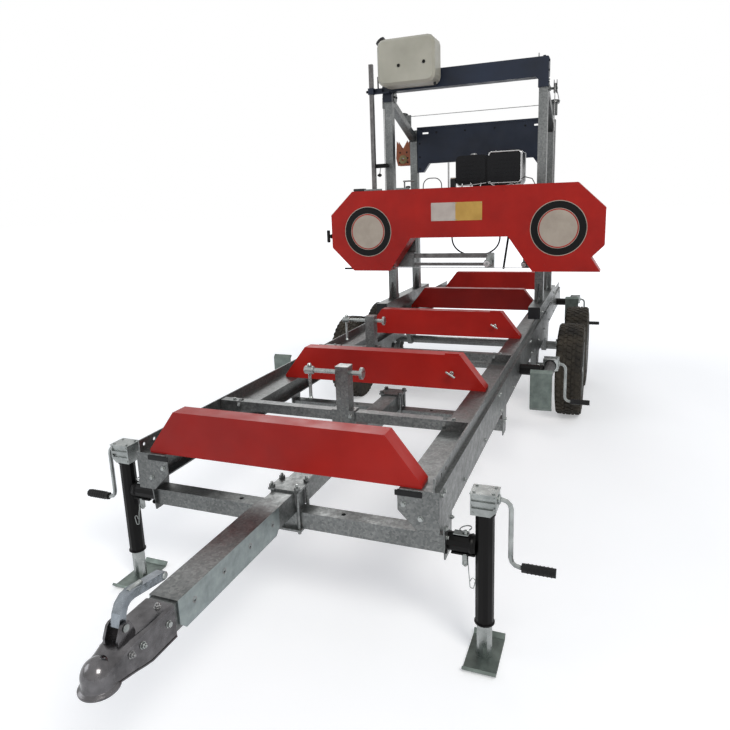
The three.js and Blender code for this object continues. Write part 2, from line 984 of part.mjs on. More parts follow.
function couplerLever() {
  const pivot = new THREE.Vector2(coupler.earY, lever.pivotZ);
  const knee = new THREE.Vector2(lever.kneeY, lever.kneeZ);
  const tip = new THREE.Vector2(lever.tipY, lever.tipZ);
  const path = rounded([[0, pivot.x, pivot.y], [0, knee.x, knee.y], [0, tip.x, tip.y]], lever.bend);
  const curve = new PointPath(path);
  const upper = [];
  const lower = [];
  path.forEach((point, i) => {
    const along = curve.getTangentAt(i / (path.length - 1));
    upper.push([point.y - (along.z * lever.depth) / 2, point.z + (along.y * lever.depth) / 2]);
    lower.unshift([point.y + (along.z * lever.depth) / 2, point.z - (along.y * lever.depth) / 2]);
  });
  const outline = [...upper, ...lower];
  const whole = prism("x", outline, about(0, lever.width));
  const groove = prism("x", [...lower, ...channelLine(path, curve)], about(0, lever.width - 2 * lever.wall));
  const pin = bar("x", about(0, coupler.earGap - 2 * FIT), [pivot.x, pivot.y], lever.pinRadius);
  const tipEnd = bar("x", about(0, lever.width), [tip.x, tip.y], lever.depth / 2);
  return join(cut(whole, groove), pin, tipEnd);
}

// The line inside the lever's channel, one wall below its outer face.
function channelLine(path, curve) {
  return path.map((point, i) => {
    const along = curve.getTangentAt(i / (path.length - 1));
    const depth = lever.depth / 2 - lever.wall;
    return [point.y - along.z * depth, point.z + along.y * depth];
  });
}

// Running gear

function axleFrame() {
  const pieces = [];
  const rearY = axle.frontY + axle.spacing;
  for (const y of [axle.frontY, rearY]) {
    const centre = [y, wheel.radius];
    pieces.push(bar("x", about(0, 2 * axle.halfLength), centre, axle.size / 2, ROUND_SIDES));
    pieces.push(bar("x", about(0, 2 * wheel.track + axle.spindleRun), centre, wheel.bore - RUNNING));
  }
  for (const side of [-1, 1]) {
    const top = rail.bottom - FIT;
    const bottom = wheel.radius - axle.size / 2;
    const outline = [
      [axle.frontY - axle.hangerTop / 2, top],
      [axle.frontY - axle.hangerFoot / 2, bottom],
      [axle.frontY + axle.hangerFoot / 2, bottom],
      [axle.frontY + axle.hangerTop / 2, top - axle.hangerBridge],
      [rearY - axle.hangerTop / 2, top - axle.hangerBridge],
      [rearY - axle.hangerFoot / 2, bottom],
      [rearY + axle.hangerFoot / 2, bottom],
      [rearY + axle.hangerTop / 2, top],
    ];
    pieces.push(prism("x", outline, onSide(side, rail.webOuter - axle.hangerThickness, rail.webOuter)));
  }
  return join(pieces);
}

function wheelPiece(side, y) {
  const half = wheel.width / 2;
  const rimHalf = half - wheel.beadSide;
  const face = half - wheel.discInset - wheel.disc;
  const hubInner = axle.halfLength - wheel.track + RUNNING;
  const profile = [
    [wheel.bore, hubInner],
    [wheel.hubRadius, hubInner],
    [wheel.hubRadius, face],
    [wheel.rimInner, face],
    [wheel.rimInner, -rimHalf],
    [wheel.rimRadius, -rimHalf],
    [(wheel.radius + wheel.rimRadius) / 2, -half],
    [wheel.radius - wheel.crown, -half + wheel.shoulder],
    [wheel.radius, -half / 2],
    [wheel.radius, half / 2],
    [wheel.radius - wheel.crown, half - wheel.shoulder],
    [(wheel.radius + wheel.rimRadius) / 2, half],
    [wheel.rimRadius, rimHalf],
    [wheel.rimInner, rimHalf],
    [wheel.rimInner, face + wheel.disc],
    [wheel.hubRadius, face + wheel.disc],
    [wheel.hubRadius, hubInner + wheel.hubLength],
    [wheel.bore, hubInner + wheel.hubLength],
  ].map(([radius, along]) => [radius, side * along]);
  return turned("x", profile, [side * wheel.track, y, wheel.radius], WHEEL_SIDES);
}

// Jacks, drawn upright about the pivot that folds them

function jackBody(side, row) {
  const sleeveInner = boreFor(jack.spigotRadius, ROUND_SIDES);
  const bore = jack.legRadius + RUNNING;
  const tube = turned("z", [
    [bore, jack.tubeBottom],
    [jack.tubeRadius, jack.tubeBottom],
    [jack.tubeRadius, jack.tubeTop],
    [bore, jack.tubeTop],
  ], [0, 0, 0]);
  const reach = jackX(side, row) - rail.webOuter - FIT;
  const sleeveRun = side > 0 ? [-reach, -bore - WELD] : [bore + WELD, reach];
  const sleeve = bar("x", sleeveRun, [0, 0], jack.sleeveRadius, ROUND_SIDES);
  const spigotRoom = jackX(side, row) - jack.spigotEnd - RUNNING;
  const room = side > 0 ? [-reach - OVERRUN, -spigotRoom] : [spigotRoom, reach + OVERRUN];
  const sleeveBore = bar("x", room, [0, 0], sleeveInner, ROUND_SIDES);
  const gearBottom = jack.tubeTop - WELD;
  const gearTop = gearBottom + jack.gearHeight;
  const half = jack.gearWidth / 2;
  const gearOutline = [
    [-side * half, gearBottom],
    [side * (half - jack.gearChamfer), gearBottom],
    [side * half, gearBottom + jack.gearChamfer],
    [side * half, gearTop],
    [-side * half, gearTop],
  ];
  const gear = prism("y", gearOutline, about(0, jack.gearDepth));
  const ribs = [1, 2].map((row) => {
    const z = gearBottom + (row * jack.gearHeight) / 3;
    const across = about(0, jack.gearWidth - 2 * jack.gearSheet);
    const front = -jack.gearDepth / 2;
    return box(across, [front - OVERRUN, front + jack.ribInset], about(z + jack.ribInset, 2 * jack.ribInset));
  });
  const pinAt = [-side * 2 * jack.tubeRadius, 0];
  const pin = bar("z", [jack.sleeveRadius - OVERRUN, jack.pinHeight], pinAt, jack.pinRadius, THIN_SIDES);
  const shaftRun = onSide(side, 0, half + OVERRUN);
  const shaftHole = bar("x", shaftRun, [0, jack.crankZ], boreFor(jack.crankRadius));
  const wellTop = jack.legTop + jack.retract + 2 * OVERRUN;
  const well = bar("z", [jack.tubeBottom - OVERRUN, wellTop], [0, 0], bore, ROUND_SIDES);
  return cut(join(tube, sleeve, cut(gear, ribs), pin), sleeveBore, shaftHole, well);
}

function jackX(side, row) {
  if (row !== "front") return jack.stowedX;
  return side > 0 ? jack.rightX : jack.leftX;
}

function jackLeg() {
  const bottom = -jack.pivotZ;
  const flat = jack.footLength / 2 - jack.footTurn;
  const lift = jack.footTurn;
  const foot = [
    [-flat, bottom],
    [flat, bottom],
    [flat + lift, bottom + lift],
    [flat + lift - jack.footSheet, bottom + lift + jack.footSheet],
    [flat - jack.footSheet / 2, bottom + jack.footSheet],
    [-flat + jack.footSheet / 2, bottom + jack.footSheet],
    [-flat - lift + jack.footSheet, bottom + lift + jack.footSheet],
    [-flat - lift, bottom + lift],
  ];
  const plate = prism("x", foot, about(0, jack.footWidth));
  const tube = bar("z", [bottom + jack.footSheet - WELD, jack.legTop], [0, 0], jack.legRadius, ROUND_SIDES);
  return join(plate, tube);
}

// Drawn about its own shaft, with the arm hanging down.
function jackCrank(side) {
  const inner = jack.gearSheet;
  const arm = jack.gearWidth / 2 + jack.crankOut;
  const low = -jack.crankDrop;
  const shaft = bentBar(
    [
      [side * inner, 0, 0],
      [side * arm, 0, 0],
      [side * arm, 0, low],
      [side * (arm + jack.gripLength), 0, low],
    ],
    jack.crankBend,
    jack.crankRadius,
    THIN_SIDES,
  );
  const gripFrom = arm + jack.crankBend + jack.gripInset;
  const grip = bar("x", onSide(side, gripFrom, gripFrom + jack.gripLength), [0, low], jack.gripRadius);
  return join(shaft, grip);
}

// Log clamps and stops

function clampRail(y) {
  const centre = [y, bunk.base + logClamp.barSize / 2];
  const tube = squareTube("x", about(0, 2 * logClamp.barHalf), centre, logClamp.barSize, logClamp.barWall);
  const rings = [-1, 1].map((side) => {
    const inner = side * logClamp.ringsAt;
    const collar = bar("x", about(inner, logClamp.ringWidth), centre, logClamp.ringRadius);
    const room = logClamp.barSize - 2 * WELD;
    return cut(collar, box(about(inner, 2 * logClamp.ringWidth), about(y, room), about(centre[1], room)));
  });
  const deck = box(about(0, 2 * logClamp.barHalf), about(y, 2 * logClamp.barSize), [rail.bottom, bunk.base]);
  return cut(join(tube, rings), deck);
}

function clampPost(x, y) {
  const middle = bunk.base + logClamp.barSize / 2;
  const outer = logClamp.barSize + 2 * (RUNNING + logClamp.sleeveWall);
  const sleeve = cut(
    box(about(x, logClamp.sleeveLength), about(y, outer), about(middle, outer)),
    box(
      about(x, logClamp.sleeveLength + 2 * OVERRUN),
      about(y, logClamp.barSize + 2 * RUNNING),
      about(middle, logClamp.barSize + 2 * RUNNING),
    ),
  );
  const post = box(
    about(x, logClamp.postWidth),
    about(y, logClamp.postWidth),
    [middle + outer / 2 - WELD, logClamp.postTop],
  );
  const bore = bar(
    "x",
    about(x, logClamp.postWidth + 2 * OVERRUN),
    [y, logClamp.screwZ],
    logClamp.screwRadius + RUNNING,
  );
  return cut(join(sleeve, post), bore);
}

function clampScrew(x, y) {
  const left = x - logClamp.postWidth / 2 - logClamp.screwRun;
  const right = x + logClamp.postWidth / 2 + logClamp.screwPast;
  const centre = [y, logClamp.screwZ];
  const screw = bar("x", [left, right], centre, logClamp.screwRadius);
  const padXs = [right - WELD, right + logClamp.padThickness];
  const pad = bar("x", padXs, centre, logClamp.padRadius, ROUND_SIDES);
  const knob = bar("x", about(left, 2 * logClamp.knobRadius), centre, logClamp.knobRadius);
  const handle = bar(
    "z",
    [logClamp.screwZ - logClamp.handleDrop, logClamp.screwZ + logClamp.handleRise],
    [left, y],
    logClamp.handleRadius,
  );
  return join(screw, pad, knob, handle);
}

function logStop(index) {
  const front = bunkFronts[index];
  const top = bunk.base + bunk.height;
  const ys = [front + bunk.sheet + RUNNING, front + bunk.sheet + RUNNING + stop.thickness];
  return box([stop.inner, stop.inner + stop.width], ys, [top - stop.below, top + stop.above]);
}

// Carriage

function sideFrame(side) {
  const beam = squareTube(
    "y",
    [frame.beamFront, frame.beamBack],
    [side * frame.beamX, (frame.beamBottom + beamTop) / 2],
    frame.beamSize,
    frame.beamWall,
  );
  const post = (y, top) =>
    squareTube("z", [beamTop - WELD, top], [side * frame.beamX, y], frame.postSize, frame.postWall);
  const frontTop = frame.frontPostTop - frame.braceDrop;
  const rearTop = frame.rearPostTop - frame.braceDrop;
  const brace = prism(
    "x",
    [
      [frame.frontPostY + frame.postSize / 2 - WELD, frontTop],
      [frame.rearPostY - frame.postSize / 2 + WELD, rearTop],
      [frame.rearPostY - frame.postSize / 2 + WELD, rearTop - frame.braceSize],
      [frame.frontPostY + frame.postSize / 2 - WELD, frontTop - frame.braceSize],
    ],
    about(side * frame.beamX, frame.braceSize),
  );
  const plates = [frame.frontPostY, frame.rearPostY].map((y) =>
    prism(
      "x",
      [
        [y - frame.gussetSize, beamTop - WELD],
        [y + frame.gussetSize, beamTop - WELD],
        [y + frame.postSize / 2, beamTop + frame.gussetSize],
        [y - frame.postSize / 2, beamTop + frame.gussetSize],
      ],
      about(side * frame.beamX, frame.gussetSheet),
    ),
  );
  const rollers = [frame.beamFront + frame.rollerInset, frame.beamBack - frame.rollerInset].map((y) =>
    bar(
      "x",
      about(side * (rail.trackOuter - rail.sheet / 2), frame.rollerWidth),
      [y, rail.trackTop + FIT + frame.rollerRadius],
      frame.rollerRadius,
      ROUND_SIDES,
    ),
  );
  const pulleys = pulleyPieces(side);
  const pieces = [beam, post(frame.frontPostY, frame.frontPostTop), post(frame.rearPostY, frame.rearPostTop)];
  pieces.push(brace, ...plates, ...rollers, ...pulleys);
  if (side < 0) pieces.push(winchBracket());
  return join(pieces);
}

// The corners of the lift rope's route, from one side's foot to the other's.
function ropeRoute() {
  const foot = bandWheel.z + headFrame.sleeveHeight / 2 + FIT;
  const half = [
    [-rope.x, rope.frontY, foot],
    [-rope.x, rope.frontY, rope.frontZ],
    [-rope.x, rope.rearY, rope.rearZ],
  ];
  const mirrored = half.map(([x, y, z]) => [-x, y, z]).reverse();
  return [...half, ...mirrored];
}

// The rope's bends are drawn wide enough for their chords to clear the pulleys.
function ropeBend() {
  return (pulley.radius + rope.radius + FIT) / Math.cos(Math.PI / (3 * BEND_STEPS));
}

// A pulley in each bend of the rope on one side, with what holds it.
function pulleyPieces(side) {
  const route = ropeRoute().map((point) => new THREE.Vector3(...point));
  const half = pulley.width / 2;
  const outer = pulley.radius + pulley.rim;
  const groove = half - pulley.lip;
  const profile = [
    [0, -half],
    [outer, -half],
    [outer, -groove],
    [pulley.radius, -groove],
    [pulley.radius, groove],
    [outer, groove],
    [outer, half],
    [0, half],
  ];
  const disc = turned("z", profile, [0, 0, 0]);
  const [front, rear] = side < 0 ? [1, 2] : [4, 3];
  const seats = [front, rear].map((i) => cornerArc(route[i - 1], route[i], route[i + 1], ropeBend()));
  const discs = seats.map(({ centre, normal }) => {
    const matrix = new THREE.Matrix4();
    const turn = new THREE.Quaternion().setFromUnitVectors(new THREE.Vector3(0, 0, 1), normal);
    matrix.compose(centre, turn, new THREE.Vector3(1, 1, 1));
    return placed(disc, matrix);
  });
  const [frontSeat, rearSeat] = seats.map(({ centre }) => centre);
  const postOuter = frame.beamX + frame.postSize / 2;
  const plate = box(
    onSide(side, postOuter - WELD, postOuter + pulley.plate),
    [pulley.plateFront, frontSeat.y + pulley.radius / 2],
    about(frontSeat.z, pulley.radius),
  );
  const pin = bar("x", onSide(side, postOuter, rope.x), [frontSeat.y, frontSeat.z], pulley.pin);
  const stand = box(
    onSide(side, frame.beamX - frame.braceSize / 2, rope.x - pulley.radius / 2),
    about(rearSeat.y, 2 * pulley.pin),
    [braceTopAt(rearSeat.y) - pulley.standSink, rearSeat.z],
  );
  return [...discs, plate, pin, stand];
}

// The height of the brace's upper face at a place along it.
function braceTopAt(y) {
  const from = frame.frontPostY + frame.postSize / 2;
  const to = frame.rearPostY - frame.postSize / 2;
  const share = (y - from) / (to - from);
  const frontTop = frame.frontPostTop - frame.braceDrop;
  const rearTop = frame.rearPostTop - frame.braceDrop;
  return frontTop + share * (rearTop - frontTop);
}

// The winch's two pointed cheeks and the base that carries them on the post.
function winchBracket() {
  const inner = winch.drumLength / 2 + winch.flange + RUNNING;
  const [earNear, earFar] = winch.earShares.map((share) => -leftPostOuter - share * winch.reach);
  const outline = [
    [-leftPostOuter + WELD, winch.z - winch.cheekDrop],
    [-leftPostOuter + WELD, winch.z + winch.notchRise],
    [earNear, winch.z + winch.earRise],
    [-leftPostOuter - winch.notchShare * winch.reach, winch.z + winch.notchRise],
    [earFar, winch.z + winch.earRise],
    [-leftPostOuter - winch.reach, winch.z],
    [-leftPostOuter - winch.footShare * winch.reach, winch.z - winch.cheekDrop],
  ];
  const cheeks = [-1, 1].map((side) => {
    const near = frame.rearPostY + side * inner;
    const far = near + side * winch.cheek;
    return prism("y", outline, [Math.min(near, far), Math.max(near, far)]);
  });
  const base = box(
    [-leftPostOuter - winch.cheek, -leftPostOuter + WELD],
    about(frame.rearPostY, 2 * (inner + winch.cheek)),
    [winch.z - winch.cheekDrop, winch.z + winch.notchRise],
  );
  const across = about(frame.rearPostY, 4 * inner);
  const bore = bar("y", across, [winchX, winch.z], boreFor(winch.shaftRadius));
  return cut(join(...cheeks, base), bore);
}

// The middle line of the rope wound on the drum: it dives into the drum at both ends.
function windingPath() {
  const radius = winch.drumRadius + winch.ropeRadius - winch.ropeBite;
  const pitch = 2 * winch.ropeRadius + winch.turnGap;
  const start = frame.rearPostY - (winch.turns * pitch) / 2;
  const at = (reach, angle, y) =>
    new THREE.Vector3(winchX + reach * Math.cos(angle), y, winch.z + reach * Math.sin(angle));
  const count = winch.turns * LOOP_STEPS;
  const path = [at(radius - 2 * winch.ropeRadius, 0, start)];
  for (let i = 0; i <= count; i += 1) {
    path.push(at(radius, (2 * Math.PI * i) / LOOP_STEPS, start + (pitch * i) / LOOP_STEPS));
  }
  path.push(at(radius - 2 * winch.ropeRadius, 0, start + winch.turns * pitch));
  return path;
}

// The least gap between the surfaces of a tube's turns, measured on its points.
function leastGap(path, radius) {
  let least = Infinity;
  const apart = LOOP_STEPS / 2;
  for (let i = 0; i < path.length; i += 1) {
    for (let j = i + apart; j < path.length; j += 1) {
      least = Math.min(least, path[i].distanceTo(path[j]) - 2 * radius);
    }
  }
  return least;
}

function winchDrum() {
  const centre = [winchX, winch.z];
  const middle = frame.rearPostY;
  const half = winch.drumLength / 2;
  const drum = bar("y", about(middle, winch.drumLength + 2 * WELD), centre, winch.drumRadius, LOOP_STEPS);
  const flanges = [-1, 1].map((side) => {
    const place = middle + side * (half + winch.flange / 2);
    return bar("y", about(place, winch.flange), centre, winch.flangeRadius, ROUND_SIDES);
  });
  const path = windingPath();
  console.log("least gap in the winding, mm:", leastGap(path, winch.ropeRadius).toFixed(2));
  const winding = sweptBar(path, winch.ropeRadius, THIN_SIDES);
  const cheekOuter = half + winch.flange + RUNNING + winch.cheek + RUNNING;
  const gearFrom = middle + cheekOuter;
  const gear = bar("y", [gearFrom, gearFrom + winch.gearThickness], centre, winch.gearRadius, ROUND_SIDES);
  const armY = gearFrom + winch.shaftPast;
  const shaft = bar("y", [middle - cheekOuter, armY + winch.crankBar], centre, winch.shaftRadius);
  const gripX = winchX + winch.crankArm;
  const arm = bar("x", [winchX, gripX], [armY, winch.z], winch.crankBar);
  const grip = bar("y", [armY - winch.crankBar, armY + winch.gripLength], [gripX, winch.z], winch.gripRadius);
  return join(drum, flanges, winding, gear, shaft, arm, grip);
}

// The collar that the height rod slides in, on a strap from the top beam's left leg
function rodGuide(legFront) {
  const outer = rod.size + 2 * (RUNNING + rod.guideWall);
  const collar = cut(
    box(about(rod.x, outer), about(rod.y, outer), about(rod.guideZ, rod.guideHeight)),
    box(
      about(rod.x, rod.size + 2 * RUNNING),
      about(rod.y, rod.size + 2 * RUNNING),
      about(rod.guideZ, rod.guideHeight + 2 * OVERRUN),
    ),
  );
  const strapTop = frame.frontPostTop - WELD;
  const strap = box(
    [rod.x + rod.size / 2 + RUNNING + WELD, -frame.beamX + frame.postSize / 2],
    [rod.y - rod.guideWall, rod.y + rod.guideWall],
    [rod.guideZ - rod.guideHeight / 2, strapTop],
  );
  const tie = box(
    [-frame.beamX - frame.postSize / 2, -frame.beamX + frame.postSize / 2],
    [rod.y - rod.guideWall, legFront + topBeam.sheet],
    [rod.guideZ - rod.guideHeight / 2, strapTop],
  );
  return join(collar, strap, tie);
}

function topBeamPiece() {
  const bottom = frame.frontPostTop + FIT;
  const zs = [bottom, bottom + topBeam.height];
  const ys = about(frame.frontPostY, topBeam.depth);
  const half = frame.beamX + topBeam.overhang;
  const xs = about(0, 2 * half);
  const whole = prism("y", roundedRectangle(xs, zs, topBeam.corner), ys);
  const inside = box(
    about(0, 2 * (half - topBeam.corner)),
    [ys[0] + topBeam.sheet, ys[1] + OVERRUN],
    [zs[0] + topBeam.sheet, zs[1] - topBeam.sheet],
  );
  const bolts = [-1, 1].map((side) => {
    const centre = [side * frame.beamX, frame.frontPostY];
    return bar("z", [zs[1] - WELD, zs[1] + topBeam.boltHeight], centre, topBeam.boltRadius, THIN_SIDES);
  });
  const legs = [-1, 1].flatMap((side) => topBeamLeg(side, half, zs[0], ys[0]));
  return join(cut(whole, inside), bolts, legs, rodGuide(ys[0]));
}

// The sheet leg at one end of the top beam: its front plate and the flanges beside the post
function topBeamLeg(side, half, top, front) {
  const postInner = frame.beamX - frame.postSize / 2 - FIT;
  const postOuter = frame.beamX + frame.postSize / 2 + FIT;
  const inner = postInner - topBeam.sheet;
  const foot = top - topBeam.legDrop;
  const outline = [
    [side * half, top + topBeam.corner],
    [side * half, foot],
    [side * inner, foot],
    [side * inner, top - topBeam.legFillet],
    [side * (inner - topBeam.legFillet), top + WELD],
    [side * (inner - topBeam.legFillet), top + topBeam.corner],
  ];
  const plate = prism("y", outline, [front, front + topBeam.sheet]);
  const flanges = [[inner, postInner], [postOuter, half]].map(([from, to]) =>
    box(onSide(side, from, to), [front, pulley.plateFront - FIT], [foot, top + WELD]),
  );
  return [plate, ...flanges];
}

function rearPanelPiece() {
  const half = frame.beamX - frame.postSize / 2 - FIT;
  const inner = half - rearPanel.legWidth;
  const outline = [
    [-half, rearPanel.top],
    [-half, rearPanel.legBottom],
    [-inner, rearPanel.legBottom],
    [-inner + rearPanel.legSlant, rearPanel.bottom],
    [inner - rearPanel.legSlant, rearPanel.bottom],
    [inner, rearPanel.legBottom],
    [half, rearPanel.legBottom],
    [half, rearPanel.top],
  ];
  const front = frame.rearPostY - rearPanel.depth / 2;
  const whole = prism("y", outline, [front, front + rearPanel.depth]);
  const room = [front + rearPanel.sheet, front + rearPanel.depth + OVERRUN];
  const inside = prism("y", inset(outline, rearPanel.sheet), room);
  const slots = [-1, 1].map((side) =>
    box(
      about(side * (half - rearPanel.slotIn), rearPanel.slotWidth),
      [front - OVERRUN, front + rearPanel.sheet + OVERRUN],
      about(rearPanel.top - rearPanel.slotDown, rearPanel.slotHeight),
    ),
  );
  return cut(whole, inside, slots);
}

function waterTank() {
  const xs = [tank.left, tank.left + tank.width];
  const zs = [tank.bottom, tank.bottom + tank.height];
  const back = frame.frontPostY - topBeam.depth / 2 - FIT;
  const front = back - tank.depth;
  const outline = roundedRectangle(xs, zs, tank.corner);
  const belly = prism("y", outline, [front + tank.edge, back - tank.edge]);
  const skin = inset(outline, tank.edge);
  const frontFace = loftSlab(skin, outline, [front, front + tank.edge + WELD]);
  const backFace = loftSlab(outline, skin, [back - tank.edge - WELD, back]);
  const neck = turned("z", [
    [0, -tank.neckHeight],
    [tank.neckRadius, -tank.neckHeight],
    [tank.neckRadius, tank.neckHeight],
    [tank.capRadius, tank.neckHeight],
    [tank.capRadius, tank.neckHeight + tank.capHeight],
    [0, tank.neckHeight + tank.capHeight],
  ], [0, 0, 0]);
  const tilt = new THREE.Matrix4().makeRotationY((-tank.neckTilt * Math.PI) / 180);
  tilt.setPosition(xs[0] + tank.neckIn / 2, (front + back) / 2, zs[1] - tank.neckIn / 2);
  return join(belly, frontFace, backFace, placed(neck, tilt));
}

// A slab whose outline changes evenly from one face to the other.
function loftSlab(first, second, [from, to]) {
  const count = first.length;
  const rim = [...first.map(([x, z]) => [x, from, z]), ...second.map(([x, z]) => [x, to, z])];
  const faces = [];
  for (let i = 0; i < count; i += 1) {
    const next = (i + 1) % count;
    faces.push(i, next, count + i, next, count + next, count + i);
  }
  const flat = THREE.ShapeUtils.triangulateShape(first.map(([x, z]) => new THREE.Vector2(x, z)), []);
  for (const [a, b, c] of flat) faces.push(a, c, b, count + a, count + b, count + c);
  const geometry = new THREE.BufferGeometry();
  geometry.setAttribute("position", new THREE.Float32BufferAttribute(rim.flat(), 3));
  geometry.setIndex(faces);
  return solid(geometry);
}

function liftRope() {
  return bentBar(ropeRoute(), ropeBend(), rope.radius, THIN_SIDES);
}

// Saw head

function coverOutline() {
  const { half, topHalf, top, bottom, topChamfer, bottomChamfer, lobeInner, archHalf, archZ } = head;
  const right = [
    [topHalf, top],
    [half, top - topChamfer],
    [half, bottom + bottomChamfer],
    [half - head.chuteRun, bottom + bottomChamfer - head.chuteRun],
    [half - head.chuteLip, bottom],
    [lobeInner, bottom],
    [archHalf, archZ],
  ];
  const left = [
    [-archHalf, archZ],
    [-lobeInner, bottom],
    [-half + bottomChamfer, bottom],
    [-half, bottom + bottomChamfer],
    [-half, top - topChamfer],
    [-topHalf, top],
  ];
  return [...right, ...left].map(([x, z]) => [head.centreX + x, z]);
}

function wheelCover() {
  const outline = coverOutline();
  const back = head.coverFront + head.coverDepth;
  const whole = prism("y", outline, [head.coverFront, back]);
  const inside = prism("y", inset(outline, head.sheet), [head.coverFront + head.sheet, back + OVERRUN]);
  const slotYs = [bandWheel.front - head.bladeSlot, bandWheel.front + blade.width + head.bladeSlot];
  const bladeSlot = box(
    about(head.centreX, 2 * head.lobeInner + 2 * head.bladeSlot),
    slotYs,
    about(bladeTop, 2 * head.bladeSlot),
  );
  return cut(whole, inside, bladeSlot);
}

function bandWheelPiece(index) {
  const { radius, width, rim, web, hubRadius, hubLength, shaftRadius, crown } = bandWheel;
  const middle = width / 2;
  const shaftEnd = headBeamFront + headFrame.beamDepth / 2 - bandWheel.front;
  const profile = [
    [0, middle - hubLength / 2 + crown],
    [hubRadius, middle - hubLength / 2 + crown],
    [hubRadius, middle - web / 2],
    [radius - rim, middle - web / 2],
    [radius - rim, 0],
    [radius - crown, 0],
    [radius, middle],
    [radius - crown, width],
    [radius - rim, width],
    [radius - rim, middle + web / 2],
    [hubRadius, middle + web / 2],
    [hubRadius, middle + hubLength / 2],
    [shaftRadius, middle + hubLength / 2],
    [shaftRadius, shaftEnd],
    [0, shaftEnd],
  ];
  const centre = [bandWheelXs[index], bandWheel.front, bandWheel.z];
  return turned("y", profile, centre, WHEEL_SIDES);
}

function bladePiece() {
  const loop = (radius) => {
    const points = [];
    const steps = WHEEL_SIDES / 2;
    bandWheelXs.forEach((x, index) => {
      for (let i = 0; i <= steps; i += 1) {
        const angle = Math.PI / 2 + Math.PI * (index + i / steps);
        const reach = radius / Math.cos(Math.PI / (2 * steps));
        points.push([x + reach * Math.cos(angle), bandWheel.z + reach * Math.sin(angle)]);
      }
    });
    return points;
  };
  const inner = bandWheel.radius + FIT;
  const back = bandWheel.front + blade.width;
  const outside = prism("y", loop(inner + blade.thickness), [bandWheel.front, back]);
  const inside = prism("y", loop(inner), [bandWheel.front - OVERRUN, back + OVERRUN]);
  return cut(outside, inside);
}

function headFramePiece() {
  const beamYs = [headBeamFront, headBeamBack];
  const centre = [(beamYs[0] + beamYs[1]) / 2, bandWheel.z];
  const beamXs = about(head.centreX, 2 * headFrameHalf);
  const hollow = box(
    [beamXs[0] - OVERRUN, beamXs[1] + OVERRUN],
    [beamYs[0] + headFrame.beamWall, beamYs[1] - headFrame.beamWall],
    [headBeamZ[0] + headFrame.beamWall, headBeamZ[1] - headFrame.beamWall],
  );
  const pieces = [cut(box(beamXs, beamYs, headBeamZ), hollow)];
  const bores = [];
  for (const x of bandWheelXs) {
    const housing = [headBeamFront - headFrame.bearingLength, headBeamFront + WELD];
    pieces.push(bar("y", housing, [x, bandWheel.z], headFrame.bearingRadius, ROUND_SIDES));
    const run = [housing[0] - OVERRUN, centre[0] + RUNNING];
    bores.push(bar("y", run, [x, bandWheel.z], boreFor(bandWheel.shaftRadius, ROUND_SIDES), ROUND_SIDES));
  }
  const sleeveInner = frame.postSize + 2 * RUNNING;
  const sleeveOuter = sleeveInner + 2 * headFrame.sleeveWall;
  const sleeveZs = about(bandWheel.z, headFrame.sleeveHeight);
  for (const side of [-1, 1]) {
    const x = side * frame.beamX;
    const sleeveYs = [headBeamBack - WELD, frame.frontPostY + sleeveOuter / 2];
    pieces.push(box(about(x, sleeveOuter), sleeveYs, sleeveZs));
    const boreZs = about(bandWheel.z, headFrame.sleeveHeight + 2 * OVERRUN);
    bores.push(box(about(x, sleeveInner), about(frame.frontPostY, sleeveInner), boreZs));
    const earYs = [
      frame.frontPostY + sleeveOuter / 2 - headFrame.sleeveWall,
      rope.frontY + headFrame.earWidth / 2,
    ];
    const earXs = onSide(side, frame.beamX, rope.x + headFrame.earWidth / 2);
    const ear = box(earXs, earYs, [sleeveZs[1] - headFrame.earThickness, sleeveZs[1]]);
    pieces.push(ear);
  }
  pieces.push(...engineDeck(), ...fixedGuide(), ...armHolder(), ...heightRod());
  return cut(join(pieces), bores);
}

function engineDeck() {
  const xs = about(headFrame.deckX, 2 * headFrame.deckHalf);
  const ys = [headBeamBack - WELD, headFrame.deckBack];
  const deck = box(xs, ys, [bandWheel.z, engineDeckTop]);
  const lips = [-1, 1].map((side) => {
    const edge = headFrame.deckX + side * headFrame.deckHalf;
    const lipXs = side > 0 ? [edge - headFrame.deckThickness, edge] : [edge, edge + headFrame.deckThickness];
    return box(lipXs, ys, [bandWheel.z - headFrame.deckLip, engineDeckTop]);
  });
  return [deck, ...lips];
}

// A grooved roller that bears on the top of the blade, with its lip behind the blade.
function guideRoller(x, radius) {
  const lipFrom = blade.width + RUNNING;
  const profile = [
    [0, 0],
    [radius, 0],
    [radius, lipFrom],
    [radius + guide.rollerLip, lipFrom],
    [radius + guide.rollerLip, lipFrom + guide.flange],
    [guide.pinRadius, lipFrom + guide.flange],
    [guide.pinRadius, guideY - bandWheel.front + WELD],
    [0, guideY - bandWheel.front + WELD],
  ];
  return turned("y", profile, [x, bandWheel.front, bladeTop + FIT + radius]);
}

function fixedGuide() {
  const block = box(
    about(guide.fixedX, guide.fixedWidth),
    [guideY, guideY + guide.blockDepth],
    [guide.blockBottom, headBeamZ[0] + headFrame.beamWall],
  );
  return [guideRoller(guide.fixedX, guide.fixedRadius), block];
}

// The two parallel tubes of the guide arm, each with its size and the height of its underside
const armTubes = [
  [guide.armSize, guide.armZ],
  [guide.lowerSize, guide.lowerZ],
];

